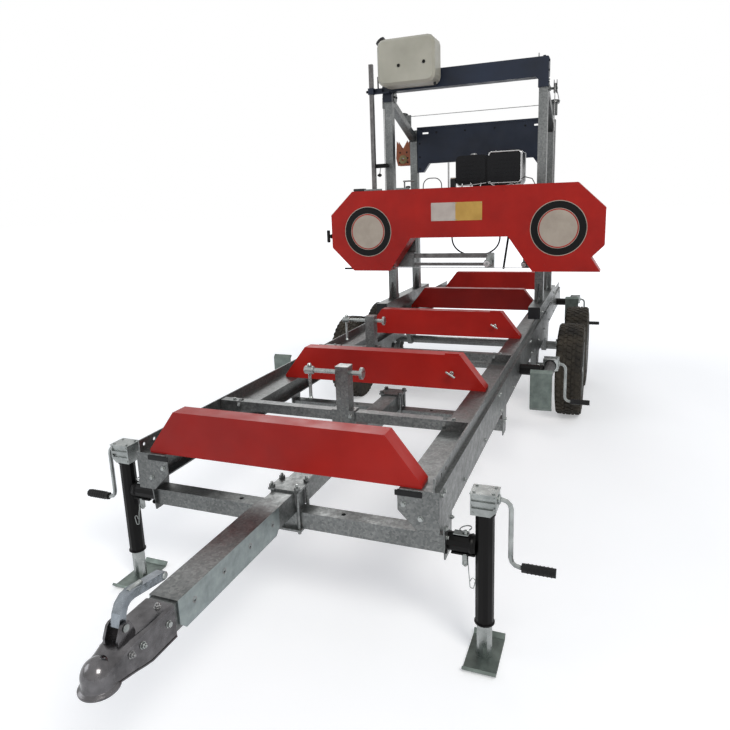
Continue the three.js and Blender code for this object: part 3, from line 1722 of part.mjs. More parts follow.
// A holder with a bore for each tube of the arm, hung from the head's beam
function armHolder() {
  const outer = guide.armSize + 2 * (RUNNING + guide.holderWall);
  const middleY = guideY + guide.armSize / 2;
  const xs = [guide.holderLeft, guide.holderRight];
  const holderYs = about(middleY, outer);
  const bottom = guide.lowerZ - RUNNING - guide.holderWall;
  const top = guide.armZ + guide.armSize + RUNNING + guide.holderWall;
  const bores = armTubes.map(([size, z]) =>
    box(
      [xs[0] - OVERRUN, xs[1] + OVERRUN],
      [guideY - RUNNING, guideY + size + RUNNING],
      [z - RUNNING, z + size + RUNNING],
    ),
  );
  const block = cut(box(xs, holderYs, [bottom, top]), bores);
  const hanger = box(
    xs,
    [holderYs[1] - guide.holderWall, holderYs[1]],
    [top - WELD, headBeamZ[0] + headFrame.beamWall],
  );
  return [block, hanger];
}

function heightRod() {
  const tube = squareTube("z", [rod.bottom, rod.top], [rod.x, rod.y], rod.size, rod.wall);
  const pad = box(
    about(rod.x, rod.size),
    [headBeamBack - WELD, rod.y - rod.size / 2 + WELD],
    [headBeamZ[0], headBeamZ[1]],
  );
  return [tube, pad];
}

function guideArm() {
  const tubes = armTubes.map(([size, z]) =>
    box([guide.armLeft, guide.blockX], [guideY, guideY + size], [z, z + size]),
  );
  const block = box(
    about(guide.blockX, guide.blockWidth),
    [guideY, guideY + guide.blockDepth],
    [guide.blockBottom, guide.armZ + guide.armSize + guide.blockRise],
  );
  return join(tubes, block, guideRoller(guide.blockX, guide.rollerRadius));
}

// The water hose that hangs in a loop under the head beam.
function waterHose() {
  const top = headBeamZ[0] - FIT;
  const route = [
    [hose.left, hose.y, top],
    [hose.left, hose.y, hose.low],
    [hose.right, hose.y, hose.low],
    [hose.right, hose.y, top],
  ];
  return bentBar(route, hose.bend, hose.radius, THIN_SIDES);
}

function enginePiece() {
  const { x, y, crankWidth, crankDepth, crankHeight, chamfer } = engine;
  const bottom = engineDeckTop + FIT;
  const half = crankWidth / 2;
  const top = bottom + crankHeight;
  const crankcase = prism(
    "y",
    [
      [x - half, bottom],
      [x + half, bottom],
      [x + half, top - chamfer],
      [x + half - chamfer, top],
      [x - half + chamfer, top],
      [x - half, top - chamfer],
    ],
    about(y, crankDepth),
  );
  const cylinderZs = [top - WELD, engine.tankBottom + chamfer];
  const cylinder = box(about(x, engine.cylinderWidth), about(y, engine.cylinderWidth), cylinderZs);
  const fins = [];
  for (let i = 0; i < engine.finCount; i += 1) {
    const z = top - chamfer + i * engine.finPitch;
    const size = engine.cylinderWidth + 2 * engine.finReach;
    fins.push(box(about(x, size), about(y, size), [z, z + engine.finThickness]));
  }
  const filter = prism(
    "y",
    roundedRectangle(
      [x - engine.filterWidth - OVERRUN, x - OVERRUN],
      [engine.filterBottom, engine.filterTop],
      engine.filterCorner,
    ),
    about(y, engine.filterDepth),
  );
  const fuelTank = prism(
    "y",
    roundedRectangle(
      [x + OVERRUN, x + OVERRUN + engine.tankWidth],
      [engine.tankBottom, engine.tankTop],
      engine.tankCorner,
    ),
    about(y, engine.tankDepth),
  );
  const starter = bar(
    "y",
    [y + crankDepth / 2 - WELD, y + crankDepth / 2 + engine.coverLength],
    [x, bottom + crankHeight / 2],
    engine.coverRadius,
    ROUND_SIDES,
  );
  const carrier = box(
    about(x, engine.filterWidth),
    about(y, engine.postSize),
    [engine.tankBottom - engine.postSize / 2, engine.tankBottom + engine.filterCorner],
  );
  return join(crankcase, cylinder, fins, filter, fuelTank, starter, carrier);
}

function tensionHandle() {
  const wall = head.centreX - head.half - FIT;
  const centre = [tension.y, tension.z];
  const end = wall - tension.shaftRun;
  const shaft = bar("x", [end, wall], centre, tension.shaftRadius);
  const collar = bar("x", [wall - tension.collarLength, wall], centre, tension.collarRadius);
  const grip = bar("z", about(tension.z, 2 * tension.barHalf), [end, tension.y], tension.barRadius);
  return join(shaft, collar, grip);
}

// Assembly

const machine = new THREE.Group();
const add = (parent, name, piece, surface) => parent.add(meshOf(name, piece, surface));

add(machine, "rail_left", railPiece(-1), galvanised);
add(machine, "rail_right", railPiece(1), galvanised);
bunkFronts.forEach((front, index) => add(machine, "bunk_" + (index + 1), bunkPiece(index), redPaint));
add(machine, "cross_tube_front", crossTube(cross.frontY, true), galvanised);
add(machine, "cross_tube_middle", crossTube(cross.middleY, true), galvanised);
add(machine, "drawbar_tube", drawbarTube(), galvanised);
add(machine, "drawbar_sleeve", drawbarSleeve(), galvanised);
add(machine, "coupler_body", couplerBody(), zincSteel);
add(machine, "coupler_lever", couplerLever(), zincSteel);
add(machine, "clamp_rail_front", clampRail(logClamp.frontY), galvanised);
add(machine, "clamp_rail_rear", clampRail(logClamp.rearY), galvanised);
add(machine, "clamp_post_front", clampPost(logClamp.frontPostX, logClamp.frontY), galvanised);
add(machine, "clamp_post_rear", clampPost(logClamp.rearPostX, logClamp.rearY), galvanised);
add(machine, "clamp_screw_front", clampScrew(logClamp.frontPostX, logClamp.frontY), zincSteel);
add(machine, "clamp_screw_rear", clampScrew(logClamp.rearPostX, logClamp.rearY), zincSteel);
add(machine, "log_stop_front", logStop(1), redPaint);
add(machine, "log_stop_rear", logStop(2), redPaint);

const axleYs = { front: axle.frontY, rear: axle.frontY + axle.spacing };
add(machine, "axle_frame", axleFrame(), galvanised);
for (const [row, y] of Object.entries(axleYs)) {
  add(machine, "wheel_" + row + "_left", wheelPiece(-1, y), tyreRubber);
  add(machine, "wheel_" + row + "_right", wheelPiece(1, y), tyreRubber);
}

// The front jacks stand on the ground; the middle and rear ones lie folded forwards.
const jackRows = [
  { row: "front", y: cross.frontY, z: crossZ, folded: false },
  { row: "middle", y: jack.middleY, z: jack.stowedZ, folded: true },
  { row: "rear", y: rearJackY, z: jack.stowedZ, folded: true },
];
for (const { row, y, z, folded } of jackRows) {
  for (const side of [-1, 1]) {
    const group = new THREE.Group();
    const hand = side > 0 ? "right" : "left";
    group.position.set(side * jackX(side, row), y, z);
    if (folded) group.rotation.x = -Math.PI / 2;
    add(group, "jack_body_" + row + "_" + hand, jackBody(side, row), blackPaint);
    add(group, "jack_leg_" + row + "_" + hand, jackLeg(), zincSteel);
    const crank = new THREE.Group();
    crank.position.z = jack.crankZ;
    if (folded) crank.rotation.x = Math.PI / 2;
    add(crank, "jack_crank_" + row + "_" + hand, jackCrank(side), zincSteel);
    group.add(crank);
    machine.add(group);
  }
}

const carriage = new THREE.Group();
add(carriage, "side_frame_left", sideFrame(-1), galvanised);
add(carriage, "side_frame_right", sideFrame(1), galvanised);
add(carriage, "top_beam", topBeamPiece(), navyPaint);
add(carriage, "rear_panel", rearPanelPiece(), navyPaint);
add(carriage, "water_tank", waterTank(), tankPlastic);
add(carriage, "winch_drum", winchDrum(), yellowZinc);
add(carriage, "lift_rope", liftRope(), zincSteel);
machine.add(carriage);

const sawHead = new THREE.Group();
add(sawHead, "head_frame", headFramePiece(), galvanised);
add(sawHead, "wheel_cover", wheelCover(), redPaint);
add(sawHead, "band_wheel_left", bandWheelPiece(0), castMetal);
add(sawHead, "band_wheel_right", bandWheelPiece(1), castMetal);
add(sawHead, "blade", bladePiece(), bladeSteel);
add(sawHead, "guide_arm", guideArm(), zincSteel);
add(sawHead, "water_hose", waterHose(), blackPaint);
add(sawHead, "engine", enginePiece(), engineBlack);
add(sawHead, "tension_handle", tensionHandle(), blackPaint);
carriage.add(sawHead);

// The origin goes to the middle of the machine's base.
machine.updateMatrixWorld(true);
const bounds = new THREE.Box3().setFromObject(machine, true);
const middle = bounds.getCenter(new THREE.Vector3());
machine.position.set(-middle.x, -middle.y, -bounds.min.z);

const sawmill = new THREE.Group();
sawmill.add(machine);

export default sawmill;
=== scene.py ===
import json
import math

import bmesh
import bpy
from mathutils import Matrix, Vector


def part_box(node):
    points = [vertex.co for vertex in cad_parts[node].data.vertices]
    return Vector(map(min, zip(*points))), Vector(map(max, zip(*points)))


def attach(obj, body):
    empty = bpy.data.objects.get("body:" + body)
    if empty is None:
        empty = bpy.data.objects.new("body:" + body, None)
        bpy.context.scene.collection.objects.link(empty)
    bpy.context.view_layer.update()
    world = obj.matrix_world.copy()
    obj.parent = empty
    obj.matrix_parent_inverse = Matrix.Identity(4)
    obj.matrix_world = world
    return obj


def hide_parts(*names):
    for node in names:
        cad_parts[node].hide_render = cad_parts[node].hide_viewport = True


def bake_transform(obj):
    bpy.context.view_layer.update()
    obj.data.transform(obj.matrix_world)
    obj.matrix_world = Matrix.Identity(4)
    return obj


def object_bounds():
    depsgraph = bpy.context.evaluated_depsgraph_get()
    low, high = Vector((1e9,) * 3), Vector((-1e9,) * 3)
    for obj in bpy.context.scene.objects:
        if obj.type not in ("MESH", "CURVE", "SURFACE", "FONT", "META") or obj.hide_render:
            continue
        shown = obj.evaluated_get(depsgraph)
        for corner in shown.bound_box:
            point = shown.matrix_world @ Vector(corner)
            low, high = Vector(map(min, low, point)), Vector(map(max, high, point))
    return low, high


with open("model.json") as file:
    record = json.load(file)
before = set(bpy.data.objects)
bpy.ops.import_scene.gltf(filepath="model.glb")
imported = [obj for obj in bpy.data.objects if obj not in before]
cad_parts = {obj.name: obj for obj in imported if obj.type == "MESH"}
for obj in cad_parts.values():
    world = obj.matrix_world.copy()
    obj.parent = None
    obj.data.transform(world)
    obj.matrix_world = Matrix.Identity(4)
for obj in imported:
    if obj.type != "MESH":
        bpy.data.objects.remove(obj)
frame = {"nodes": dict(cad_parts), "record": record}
cad_low, cad_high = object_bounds()
NODES = frame["nodes"]

# Plan coordinates are millimetres from the middle of the front bunk's foot, as the part was drawn.
bunk_low, bunk_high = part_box("bunk_1")
ORIGIN = Vector(((bunk_low.x + bunk_high.x) / 2, bunk_low.y, 0.0))
TO_FRAME = Matrix.Translation(ORIGIN) @ Matrix.Scale(0.001, 4)


def at(x, y, z):
    """A plan point in the frame, in metres."""
    return TO_FRAME @ Vector((x, y, z))


# Places that several pieces share, in plan millimetres. Left is side -1, right is side 1.
SIDES = (-1, 1)
RAIL_X = 532  # outer face of a rail
AXLES_Y = (2474.0, 3124.0)
WHEEL_X, WHEEL_Z = 740.0, 291.0
BUNKS_Y = (0.0, 968.0, 2041.0, 3012.0, 4093.0)
CLAMPS = (("front", 36.0, 490.0), ("rear", -236.0, 1500.0))
COVER_FRONT, COVER_TOP = 2382.0, 1446.2
ROPE_X, ROPE_Y = 573, 2757

# Camera, at the photograph's viewing angle
PHOTO_PIXELS, FOCAL_PIXELS = 730.0, 626.3
camera_data = bpy.data.cameras.new("camera")
camera = bpy.data.objects.new("camera", camera_data)
bpy.context.scene.collection.objects.link(camera)
forward = Vector((-0.3646, 0.9069, -0.2113)).normalized()
up = Vector((-0.0447, 0.2096, 0.9767))
right = forward.cross(up).normalized()
up = right.cross(forward).normalized()
turn = Matrix((right, up, -forward)).transposed()
camera.matrix_world = Matrix.Translation(at(951.8, -1589.5, 1369.4)) @ turn.to_4x4()
camera_data.sensor_width = 36.0
camera_data.lens = camera_data.sensor_width * FOCAL_PIXELS / PHOTO_PIXELS
camera_data.shift_x = 0.0037
camera_data.shift_y = -0.0362
camera_data.clip_end = 200.0
bpy.context.scene.camera = camera


# Materials
def linear(r, g, b):
    """A colour read as 0 to 255 sRGB, as linear values."""
    out = []
    for v in (r, g, b):
        v = v / 255.0
        out.append(v / 12.92 if v <= 0.04045 else ((v + 0.055) / 1.055) ** 2.4)
    return (*out, 1.0)


def new_node(tree, kind, values=None):
    """A shader node, with these values in its inputs."""
    node = tree.nodes.new("ShaderNode" + kind)
    for name, value in (values or {}).items():
        node.inputs[name].default_value = value
    return node


def set_stops(node, stops):
    """Gives a colour ramp its stops, each a place and a colour."""
    elements = node.color_ramp.elements
    while len(elements) < len(stops):
        elements.new(0.5)
    for element, (place, colour) in zip(elements, stops):
        element.position = place
        element.color = (*colour, 1.0)[:4]


class Shader:
    """One node material, built up from procedural layers in object space."""

    def __init__(self, name, metallic=0.0, roughness=0.5):
        self.material = bpy.data.materials.new(name)
        self.material.use_nodes = True
        self.tree = self.material.node_tree
        self.surface = self.tree.nodes["Principled BSDF"]
        self.surface.inputs["Metallic"].default_value = metallic
        self.surface.inputs["Roughness"].default_value = roughness
        self.place = new_node(self.tree, "TexCoord").outputs["Object"]
        self.height = None

    def link(self, a, b):
        self.tree.links.new(a, b)

    def stretched(self, scale):
        node = new_node(self.tree, "Mapping", {"Scale": scale})
        self.link(self.place, node.inputs["Vector"])
        return node.outputs["Vector"]

    def noise(self, scale, detail=4.0, rough=0.55, stretch=None, distortion=0.0):
        values = {"Scale": scale, "Detail": detail, "Roughness": rough, "Distortion": distortion}
        node = new_node(self.tree, "TexNoise", values)
        self.link(self.stretched(stretch) if stretch else self.place, node.inputs["Vector"])
        return node.outputs["Fac"]

    def cells(self, scale):
        node = new_node(self.tree, "TexVoronoi", {"Scale": scale})
        self.link(self.place, node.inputs["Vector"])
        return node.outputs["Color"]

    def ramp(self, value, stops):
        node = new_node(self.tree, "ValToRGB")
        set_stops(node, stops)
        self.link(value, node.inputs["Fac"])
        return node.outputs["Color"]

    def mix(self, factor, a, b, mode="MIX"):
        node = new_node(self.tree, "Mix")
        node.data_type = "RGBA"
        node.blend_type = mode
        for source, socket in ((factor, node.inputs[0]), (a, node.inputs[6]), (b, node.inputs[7])):
            if isinstance(source, bpy.types.NodeSocket):
                self.link(source, socket)
            else:
                socket.default_value = source
        return node.outputs[2]

    def level(self, value, low, high, start=0.3, end=0.7):
        values = {"From Min": start, "From Max": end, "To Min": low, "To Max": high}
        node = new_node(self.tree, "MapRange", values)
        self.link(value, node.inputs["Value"])
        return node.outputs["Result"]

    def colour(self, value):
        self.link(value, self.surface.inputs["Base Color"])

    def roughness(self, value):
        self.link(value, self.surface.inputs["Roughness"])

    def bump(self, value, strength, distance=0.001):
        node = new_node(self.tree, "Bump", {"Strength": strength, "Distance": distance})
        self.link(value, node.inputs["Height"])
        if self.height is not None:
            self.link(self.height, node.inputs["Normal"])
        self.height = node.outputs["Normal"]
        self.link(self.height, self.surface.inputs["Normal"])

    def coat(self, amount, roughness):
        self.surface.inputs["Coat Weight"].default_value = amount
        self.surface.inputs["Coat Roughness"].default_value = roughness


def grey(v, blue=0.0):
    return (v, v, v * (1.0 + blue), 1.0)


def galvanised_metal():
    s = Shader("galvanised", metallic=0.85, roughness=0.42)
    shades = [(0.0, (0.135, 0.142, 0.14)), (0.5, (0.185, 0.193, 0.19)), (1.0, (0.26, 0.266, 0.26))]
    tint = s.ramp(s.cells(150.0), shades)
    stain = s.ramp(s.noise(2.2, 6.0, 0.62), [(0.30, grey(0.55)), (0.64, grey(1.0))])
    s.colour(s.mix(1.0, tint, stain, "MULTIPLY"))
    s.roughness(s.level(s.noise(35.0, 5.0), 0.28, 0.50))
    s.bump(s.noise(220.0, 3.0), 0.16, 0.0004)
    return s.material


def zinc_metal(name, light, dark, roughness=0.3):
    s = Shader(name, metallic=0.95, roughness=roughness)
    s.colour(s.ramp(s.noise(24.0, 5.0, 0.6), [(0.3, dark), (0.7, light)]))
    s.roughness(s.level(s.noise(60.0, 4.0), roughness - 0.08, roughness + 0.12))
    s.bump(s.noise(160.0, 2.0), 0.1, 0.0003)
    return s.material


def yellow_zinc_metal():
    s = Shader("yellow_zinc", metallic=0.9, roughness=0.36)
    bands = s.noise(18.0, 3.0, 0.5, distortion=0.8)
    tones = ((0.25, (150, 84, 40)), (0.45, (205, 122, 44)), (0.6, (196, 140, 66)), (0.75, (158, 92, 60)))
    s.colour(s.ramp(bands, [(place, linear(*tone)) for place, tone in tones]))
    s.bump(s.noise(120.0, 2.0), 0.1, 0.0003)
    return s.material


def paint(name, base, deep, roughness, peel, coat, shine):
    """A sprayed coat: slow colour drift, orange peel, dust in the dull patches and a few fine scuffs."""
    base, deep = linear(*base), linear(*deep)
    s = Shader(name, roughness=roughness)
    s.surface.inputs["Specular IOR Level"].default_value = shine
    drift = s.ramp(s.noise(3.2, 5.0, 0.6), [(0.32, deep), (0.66, base)])
    scuff = s.ramp(s.noise(46.0, 8.0, 0.7, stretch=(1.0, 0.35, 1.6)), [(0.69, grey(0.0)), (0.74, grey(1.0))])
    worn = tuple(min(1.0, v * 0.7 + 0.07) for v in base[:3])
    s.colour(s.mix(s.level(scuff, 0.0, 0.30, 0.0, 1.0), drift, (*worn, 1.0)))
    s.roughness(s.level(s.noise(14.0, 5.0), roughness - 0.08, roughness + 0.14))
    s.bump(s.noise(420.0, 2.0), peel, 0.00025)
    s.coat(coat, 0.22)
    return s.material


def cast_metal():
    s = Shader("cast_metal", metallic=0.7, roughness=0.55)
    s.colour(s.ramp(s.noise(30.0, 6.0), [(0.3, grey(0.10)), (0.7, grey(0.2))]))
    s.bump(s.noise(300.0, 4.0), 0.5, 0.0006)
    return s.material


def blade_metal():
    s = Shader("blade_metal", metallic=1.0, roughness=0.25)
    s.colour(s.ramp(s.noise(60.0, 4.0, stretch=(0.05, 1.0, 1.0)), [(0.3, grey(0.42)), (0.7, grey(0.62, 0.03))]))
    s.roughness(s.level(s.noise(260.0, 3.0, stretch=(0.04, 1.0, 1.0)), 0.18, 0.38))
    return s.material


def rubber(name, dark, dusty, roughness=0.8):
    s = Shader(name, roughness=roughness)
    s.surface.inputs["Specular IOR Level"].default_value = 0.25
    s.colour(s.ramp(s.noise(9.0, 7.0, 0.65), [(0.36, linear(*dark)), (0.72, linear(*dusty))]))
    s.roughness(s.level(s.noise(40.0, 4.0), roughness - 0.12, min(0.98, roughness + 0.12)))
    s.bump(s.noise(260.0, 4.0), 0.35, 0.0005)
    return s.material


def moulded(name, base, deep, roughness, scale=6.0, shine=0.5):
    s = Shader(name, roughness=roughness)
    s.surface.inputs["Specular IOR Level"].default_value = shine
    s.colour(s.ramp(s.noise(scale, 5.0, 0.6), [(0.3, linear(*deep)), (0.7, linear(*base))]))
    s.roughness(s.level(s.noise(30.0, 4.0), roughness - 0.07, roughness + 0.1))
    s.bump(s.noise(500.0, 3.0), 0.22, 0.0004)
    return s.material


def translucent_tank():
    s = Shader("tank_plastic", roughness=0.38)
    s.colour(s.ramp(s.noise(4.0, 4.0), [(0.3, linear(158, 155, 141)), (0.7, linear(180, 177, 163))]))
    s.surface.inputs["Subsurface Weight"].default_value = 0.12
    s.surface.inputs["Subsurface Radius"].default_value = (0.012, 0.011, 0.008)
    s.roughness(s.level(s.noise(26.0, 4.0), 0.32, 0.48))
    s.bump(s.noise(90.0, 3.0), 0.12, 0.0006)
    return s.material


def rope_material():
    s = Shader("wire_rope", metallic=0.8, roughness=0.45)
    wave = new_node(s.tree, "TexWave", {"Scale": 190.0})
    wave.bands_direction = "DIAGONAL"
    s.link(s.place, wave.inputs["Vector"])
    s.colour(s.ramp(wave.outputs["Fac"], [(0.1, grey(0.12)), (0.7, grey(0.5))]))
    s.bump(wave.outputs["Fac"], 0.6, 0.0006)
    return s.material


GALV = galvanised_metal()
ZINC = zinc_metal("zinc_plate", (0.40, 0.42, 0.41), (0.22, 0.235, 0.23))
CHROME = zinc_metal("chrome", grey(0.62), grey(0.40), 0.12)
LEVER = zinc_metal("lever_chrome", (0.30, 0.33, 0.36), (0.12, 0.135, 0.15), 0.18)
COUPLER = zinc_metal("coupler_steel", (0.16, 0.155, 0.16), (0.07, 0.068, 0.07), 0.2)
STEEL = zinc_metal("dark_steel", grey(0.34), grey(0.2), 0.34)
YELLOW = yellow_zinc_metal()
ORANGE = paint("winch_coat", (150, 78, 38), (112, 56, 30), 0.38, 0.15, 0.1, 0.4)
RED = paint("red_paint", (170, 28, 18), (146, 20, 13), 0.4, 0.2, 0.06, 0.22)
BLACK = paint("black_paint", (12, 11, 11), (7, 7, 7), 0.36, 0.25, 0.03, 0.14)
NAVY = paint("navy_paint", (26, 36, 54), (18, 25, 38), 0.4, 0.2, 0.04, 0.3)
CAST = cast_metal()
BLADE = blade_metal()
TYRE = rubber("tyre_rubber", (34, 32, 29), (72, 66, 56))
HOSE = rubber("hose_rubber", (14, 14, 15), (24, 24, 25), 0.55)
GRIP = rubber("grip_rubber", (12, 12, 13), (24, 24, 25), 0.5)
ENGINE = moulded("engine_black", (12, 13, 17), (7, 7, 10), 0.3, shine=0.2)
PLASTIC = moulded("black_plastic", (26, 26, 28), (16, 16, 18), 0.42, shine=0.3)
PALE = moulded("pale_plate", (192, 182, 172), (172, 160, 152), 0.45, 12.0)
DISC = moulded("disc_grey", (178, 166, 152), (158, 146, 132), 0.4, 10.0)
TANK = translucent_tank()
ROPE = rope_material()
FOOT = zinc_metal("foot_zinc", (0.19, 0.225, 0.205), (0.11, 0.13, 0.12), 0.42)
# A lighter, greener copy of the zinc for the drawbar sleeve's sides: painted light on them, against the darker
# galvanised top
SLEEVE_LIT_SIDES = zinc_metal("sleeve_zinc_lit_sides", (0.34, 0.385, 0.38), (0.225, 0.26, 0.262), 0.42)
ARM = zinc_metal("arm_steel", (0.17, 0.165, 0.16), (0.085, 0.08, 0.08), 0.4)
KHAKI = paint("khaki_coat", (132, 116, 74), (96, 84, 52), 0.45, 0.15, 0.1, 0.4)
YELLOW_PLATE = moulded("yellow_plate", (196, 156, 74), (174, 134, 58), 0.45, 12.0)

CREASE = math.radians(32.0)


def soften(o, width=0.0011):
    """Smooth shading with crisp edges and a small bevel on them."""
    o.data.shade_smooth()
    o.data.set_sharp_from_angle(angle=CREASE)
    if width:
        bevel = o.modifiers.new("edges", "BEVEL")
        bevel.width = width
        bevel.segments = 2
        bevel.limit_method = "ANGLE"
        bevel.angle_limit = CREASE


def repaint(node, test, material):
    """Gives the faces of a CAD node whose middle, in plan millimetres, passes the test another material."""
    o = NODES[node]
    o.data.materials.append(material)
    index = len(o.data.materials) - 1
    back = TO_FRAME.inverted()
    for face in o.data.polygons:
        if test(back @ face.center):
            face.material_index = index


SLOTS = {
    "galvanised": GALV, "red_paint": RED, "black_paint": BLACK, "navy_paint": NAVY, "zinc_steel": ZINC,
    "cast_wheel": CAST, "blade_steel": BLADE, "tyre_rubber": TYRE, "tank_plastic": TANK,
    "yellow_zinc": YELLOW, "engine_black": ENGINE, "hose_rubber": HOSE,
}
for part in frame["record"]["subparts"]:
    node = part["node"]
    if node in NODES:
        NODES[node].data.materials.clear()
        NODES[node].data.materials.append(SLOTS[part["material_slot"]])
        soften(NODES[node])
repaint("water_tank", lambda c: c.z > 2388.5 or c.x < -517.6, PLASTIC)
repaint("tension_handle", lambda c: c.x < -886.0, GRIP)
repaint("coupler_lever", lambda c: True, LEVER)
repaint("side_frame_left", lambda c: c.x < -541.5 and 1640 < c.z < 1835 and c.y > 3200, ORANGE)
repaint("guide_arm", lambda c: c.x < 200, ARM)
# The sleeve's sides take the lighter zinc while its top keeps the galvanised: painted light on the sides
repaint("drawbar_sleeve", lambda c: abs(c.x) > 38, SLEEVE_LIT_SIDES)
repaint("head_frame", lambda c: c.x < -598.5 and c.y < 2647.5, ARM)
lever_edges = NODES["coupler_lever"].modifiers["edges"]
lever_edges.width, lever_edges.segments = 0.0042, 4


# Pieces
def circle(count, radius=1.0):
    """Points evenly round a circle, as (cosine, sine) times its radius."""
    angles = [2 * math.pi * i / count for i in range(count)]
    return [(radius * math.cos(a), radius * math.sin(a)) for a in angles]


def quads(a, b, n):
    """Faces between two rings of n points, whose first points are a and b."""
    return [(a + i, a + (i + 1) % n, b + (i + 1) % n, b + i) for i in range(n)]


class Piece:
    """Gathers shapes of several materials, drawn in plan millimetres, into one object that rides on a body."""

    def __init__(self, name, body, turn=None):
        self.name, self.body, self.turn = name, body, turn or Matrix.Identity(4)
        self.verts, self.faces, self.marks, self.materials = [], [], [], []

    def index(self, material):
        if material not in self.materials:
            self.materials.append(material)
        return self.materials.index(material)

    def add(self, verts, faces, material, matrix=None):
        start = len(self.verts)
        for v in verts:
            v = Vector(v)
            self.verts.append(self.turn @ (matrix @ v if matrix else v))
        mark = self.index(material)
        for face in faces:
            self.faces.append([start + i for i in face])
            self.marks.append(mark)
        return self

    def box(self, xs, ys, zs, material, chamfer=0.0):
        c = min(chamfer, (xs[1] - xs[0]) / 2.2, (ys[1] - ys[0]) / 2.2, (zs[1] - zs[0]) / 2.2)
        if c <= 0:
            verts = [(x, y, z) for x in xs for y in ys for z in zs]
            faces = [(0, 1, 3, 2), (4, 6, 7, 5), (0, 4, 5, 1), (2, 3, 7, 6), (0, 2, 6, 4), (1, 5, 7, 3)]
            return self.add(verts, faces, material)
        outline = [(xs[0] + c, zs[0]), (xs[1] - c, zs[0]), (xs[1], zs[0] + c), (xs[1], zs[1] - c),
                   (xs[1] - c, zs[1]), (xs[0] + c, zs[1]), (xs[0], zs[1] - c), (xs[0], zs[0] + c)]
        return self.prism("y", outline, ys, material)

    def prism(self, axis, outline, span, material):
        verts = []
        for s in span:
            for a, b in outline:
                verts.append({"x": (s, a, b), "y": (a, s, b), "z": (a, b, s)}[axis])
        n = len(outline)
        faces = [tuple(range(n)), tuple(range(2 * n - 1, n - 1, -1))]
        return self.add(verts, faces + quads(0, n, n), material)

    def turned(self, axis, centre, profile, material, sides=24, closed=False, matrix=None):
        """A profile of (radius, along) points turned about an axis through centre."""
        verts, faces, rings = [], [], []
        for radius, along in profile:
            if radius < 1e-6:
                rings.append([len(verts)])
                local = [(0.0, 0.0)]
            else:
                rings.append(list(range(len(verts), len(verts) + sides)))
                local = circle(sides, radius)
            for a, b in local:
                p = {"x": (along, a, b), "y": (a, along, b), "z": (a, b, along)}[axis]
                verts.append(Vector(centre) + Vector(p))
        pairs = list(zip(rings, rings[1:])) + ([(rings[-1], rings[0])] if closed else [])
        for first, second in pairs:
            for i in range(sides):
                j = i + 1
                quad = [first[i % len(first)], first[j % len(first)], second[j % len(second)], second[i % len(second)]]
                quad = [q for k, q in enumerate(quad) if q not in quad[:k]]
                if len(quad) > 2:
                    faces.append(quad)
        if not closed:
            for ring in (rings[0], rings[-1]):
                if len(ring) > 1:
                    faces.append(ring)
        return self.add(verts, faces, material, matrix)

    def rod(self, a, b, radius, material, sides=16):
        """A straight bar between two points, with the ends a little rounded."""
        a, b = Vector(a), Vector(b)
        run = (b - a).length
        soft = min(radius * 0.25, run * 0.2)
        local = Matrix.Translation(a) @ (b - a).to_track_quat("Z", "Y").to_matrix().to_4x4()
        profile = [(0, 0), (radius - soft, 0), (radius, soft), (radius, run - soft), (radius - soft, run), (0, run)]
        return self.turned("z", (0, 0, 0), profile, material, sides, matrix=local)

    def tube(self, points, radius, material, sides=12, closed=False):
        """A round bar along a line of points."""
        points = [Vector(p) for p in points]
        n = len(points)
        ring = circle(sides)
        verts, faces = [], []
        normal = None
        for i, p in enumerate(points):
            before = points[i - 1] if (i or closed) else p
            after = points[(i + 1) % n] if (i < n - 1 or closed) else p
            along = (after - before).normalized()
            if normal is None:
                normal = along.orthogonal().normalized()
            normal = (normal - along * normal.dot(along)).normalized()
            other = along.cross(normal)
            verts += [p + radius * (u * normal + v * other) for u, v in ring]
        for i in range(n if closed else n - 1):
            faces += quads(i * sides, (i + 1) % n * sides, sides)
        if not closed:
            faces.append(tuple(range(sides)))
            faces.append(tuple(range(n * sides - 1, (n - 1) * sides - 1, -1)))
        return self.add(verts, faces, material)

    def bolt(self, centre, direction, size, material=None, washer=True, head=None, matrix=None):
        """A hexagon head on a washer, standing on a face."""
        material = material or ZINC
        centre, direction = Vector(centre), Vector(direction).normalized()
        local = Matrix.Translation(centre) @ direction.to_track_quat("Z", "Y").to_matrix().to_4x4()
        local = (matrix @ local) if matrix else local
        low = 0.0
        if washer:
            wide, low = size * 0.98, size * 0.14
            self.turned("z", (0, 0, 0), [(0, 0), (wide, 0), (wide, low), (0, low)], material, 20, matrix=local)
        high = low + (head or size * 0.62)
        reach = size * 0.8
        profile = [(0, low), (reach, low), (reach, high - size * 0.1), (reach * 0.86, high), (0, high)]
        return self.turned("z", (0, 0, 0), profile, material, 6, matrix=local)

    def nut(self, centre, direction, size, material=None):
        """A nut with the screw's end standing out of it."""
        self.bolt(centre, direction, size, material)
        centre, direction = Vector(centre), Vector(direction).normalized()
        return self.rod(centre, centre + direction * size * 1.25, size * 0.42, material or ZINC, 12)

    def done(self, slot, bevel=0.8):
        """Makes the object, on its body. The slot is not used. The bevel is in millimetres."""
        mesh = bpy.data.meshes.new(self.name)
        mesh.from_pydata([TO_FRAME @ v for v in self.verts], [], self.faces)
        for m in self.materials:
            mesh.materials.append(m)
        mesh.polygons.foreach_set("material_index", self.marks)
        work = bmesh.new()
        work.from_mesh(mesh)
        bmesh.ops.recalc_face_normals(work, faces=work.faces)
        work.to_mesh(mesh)
        work.free()
        mesh.update()
        o = bpy.data.objects.new(self.name, mesh)
        bpy.context.scene.collection.objects.link(o)
        soften(o, bevel / 1000.0)
        if self.body:
            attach(o, self.body)
        return o


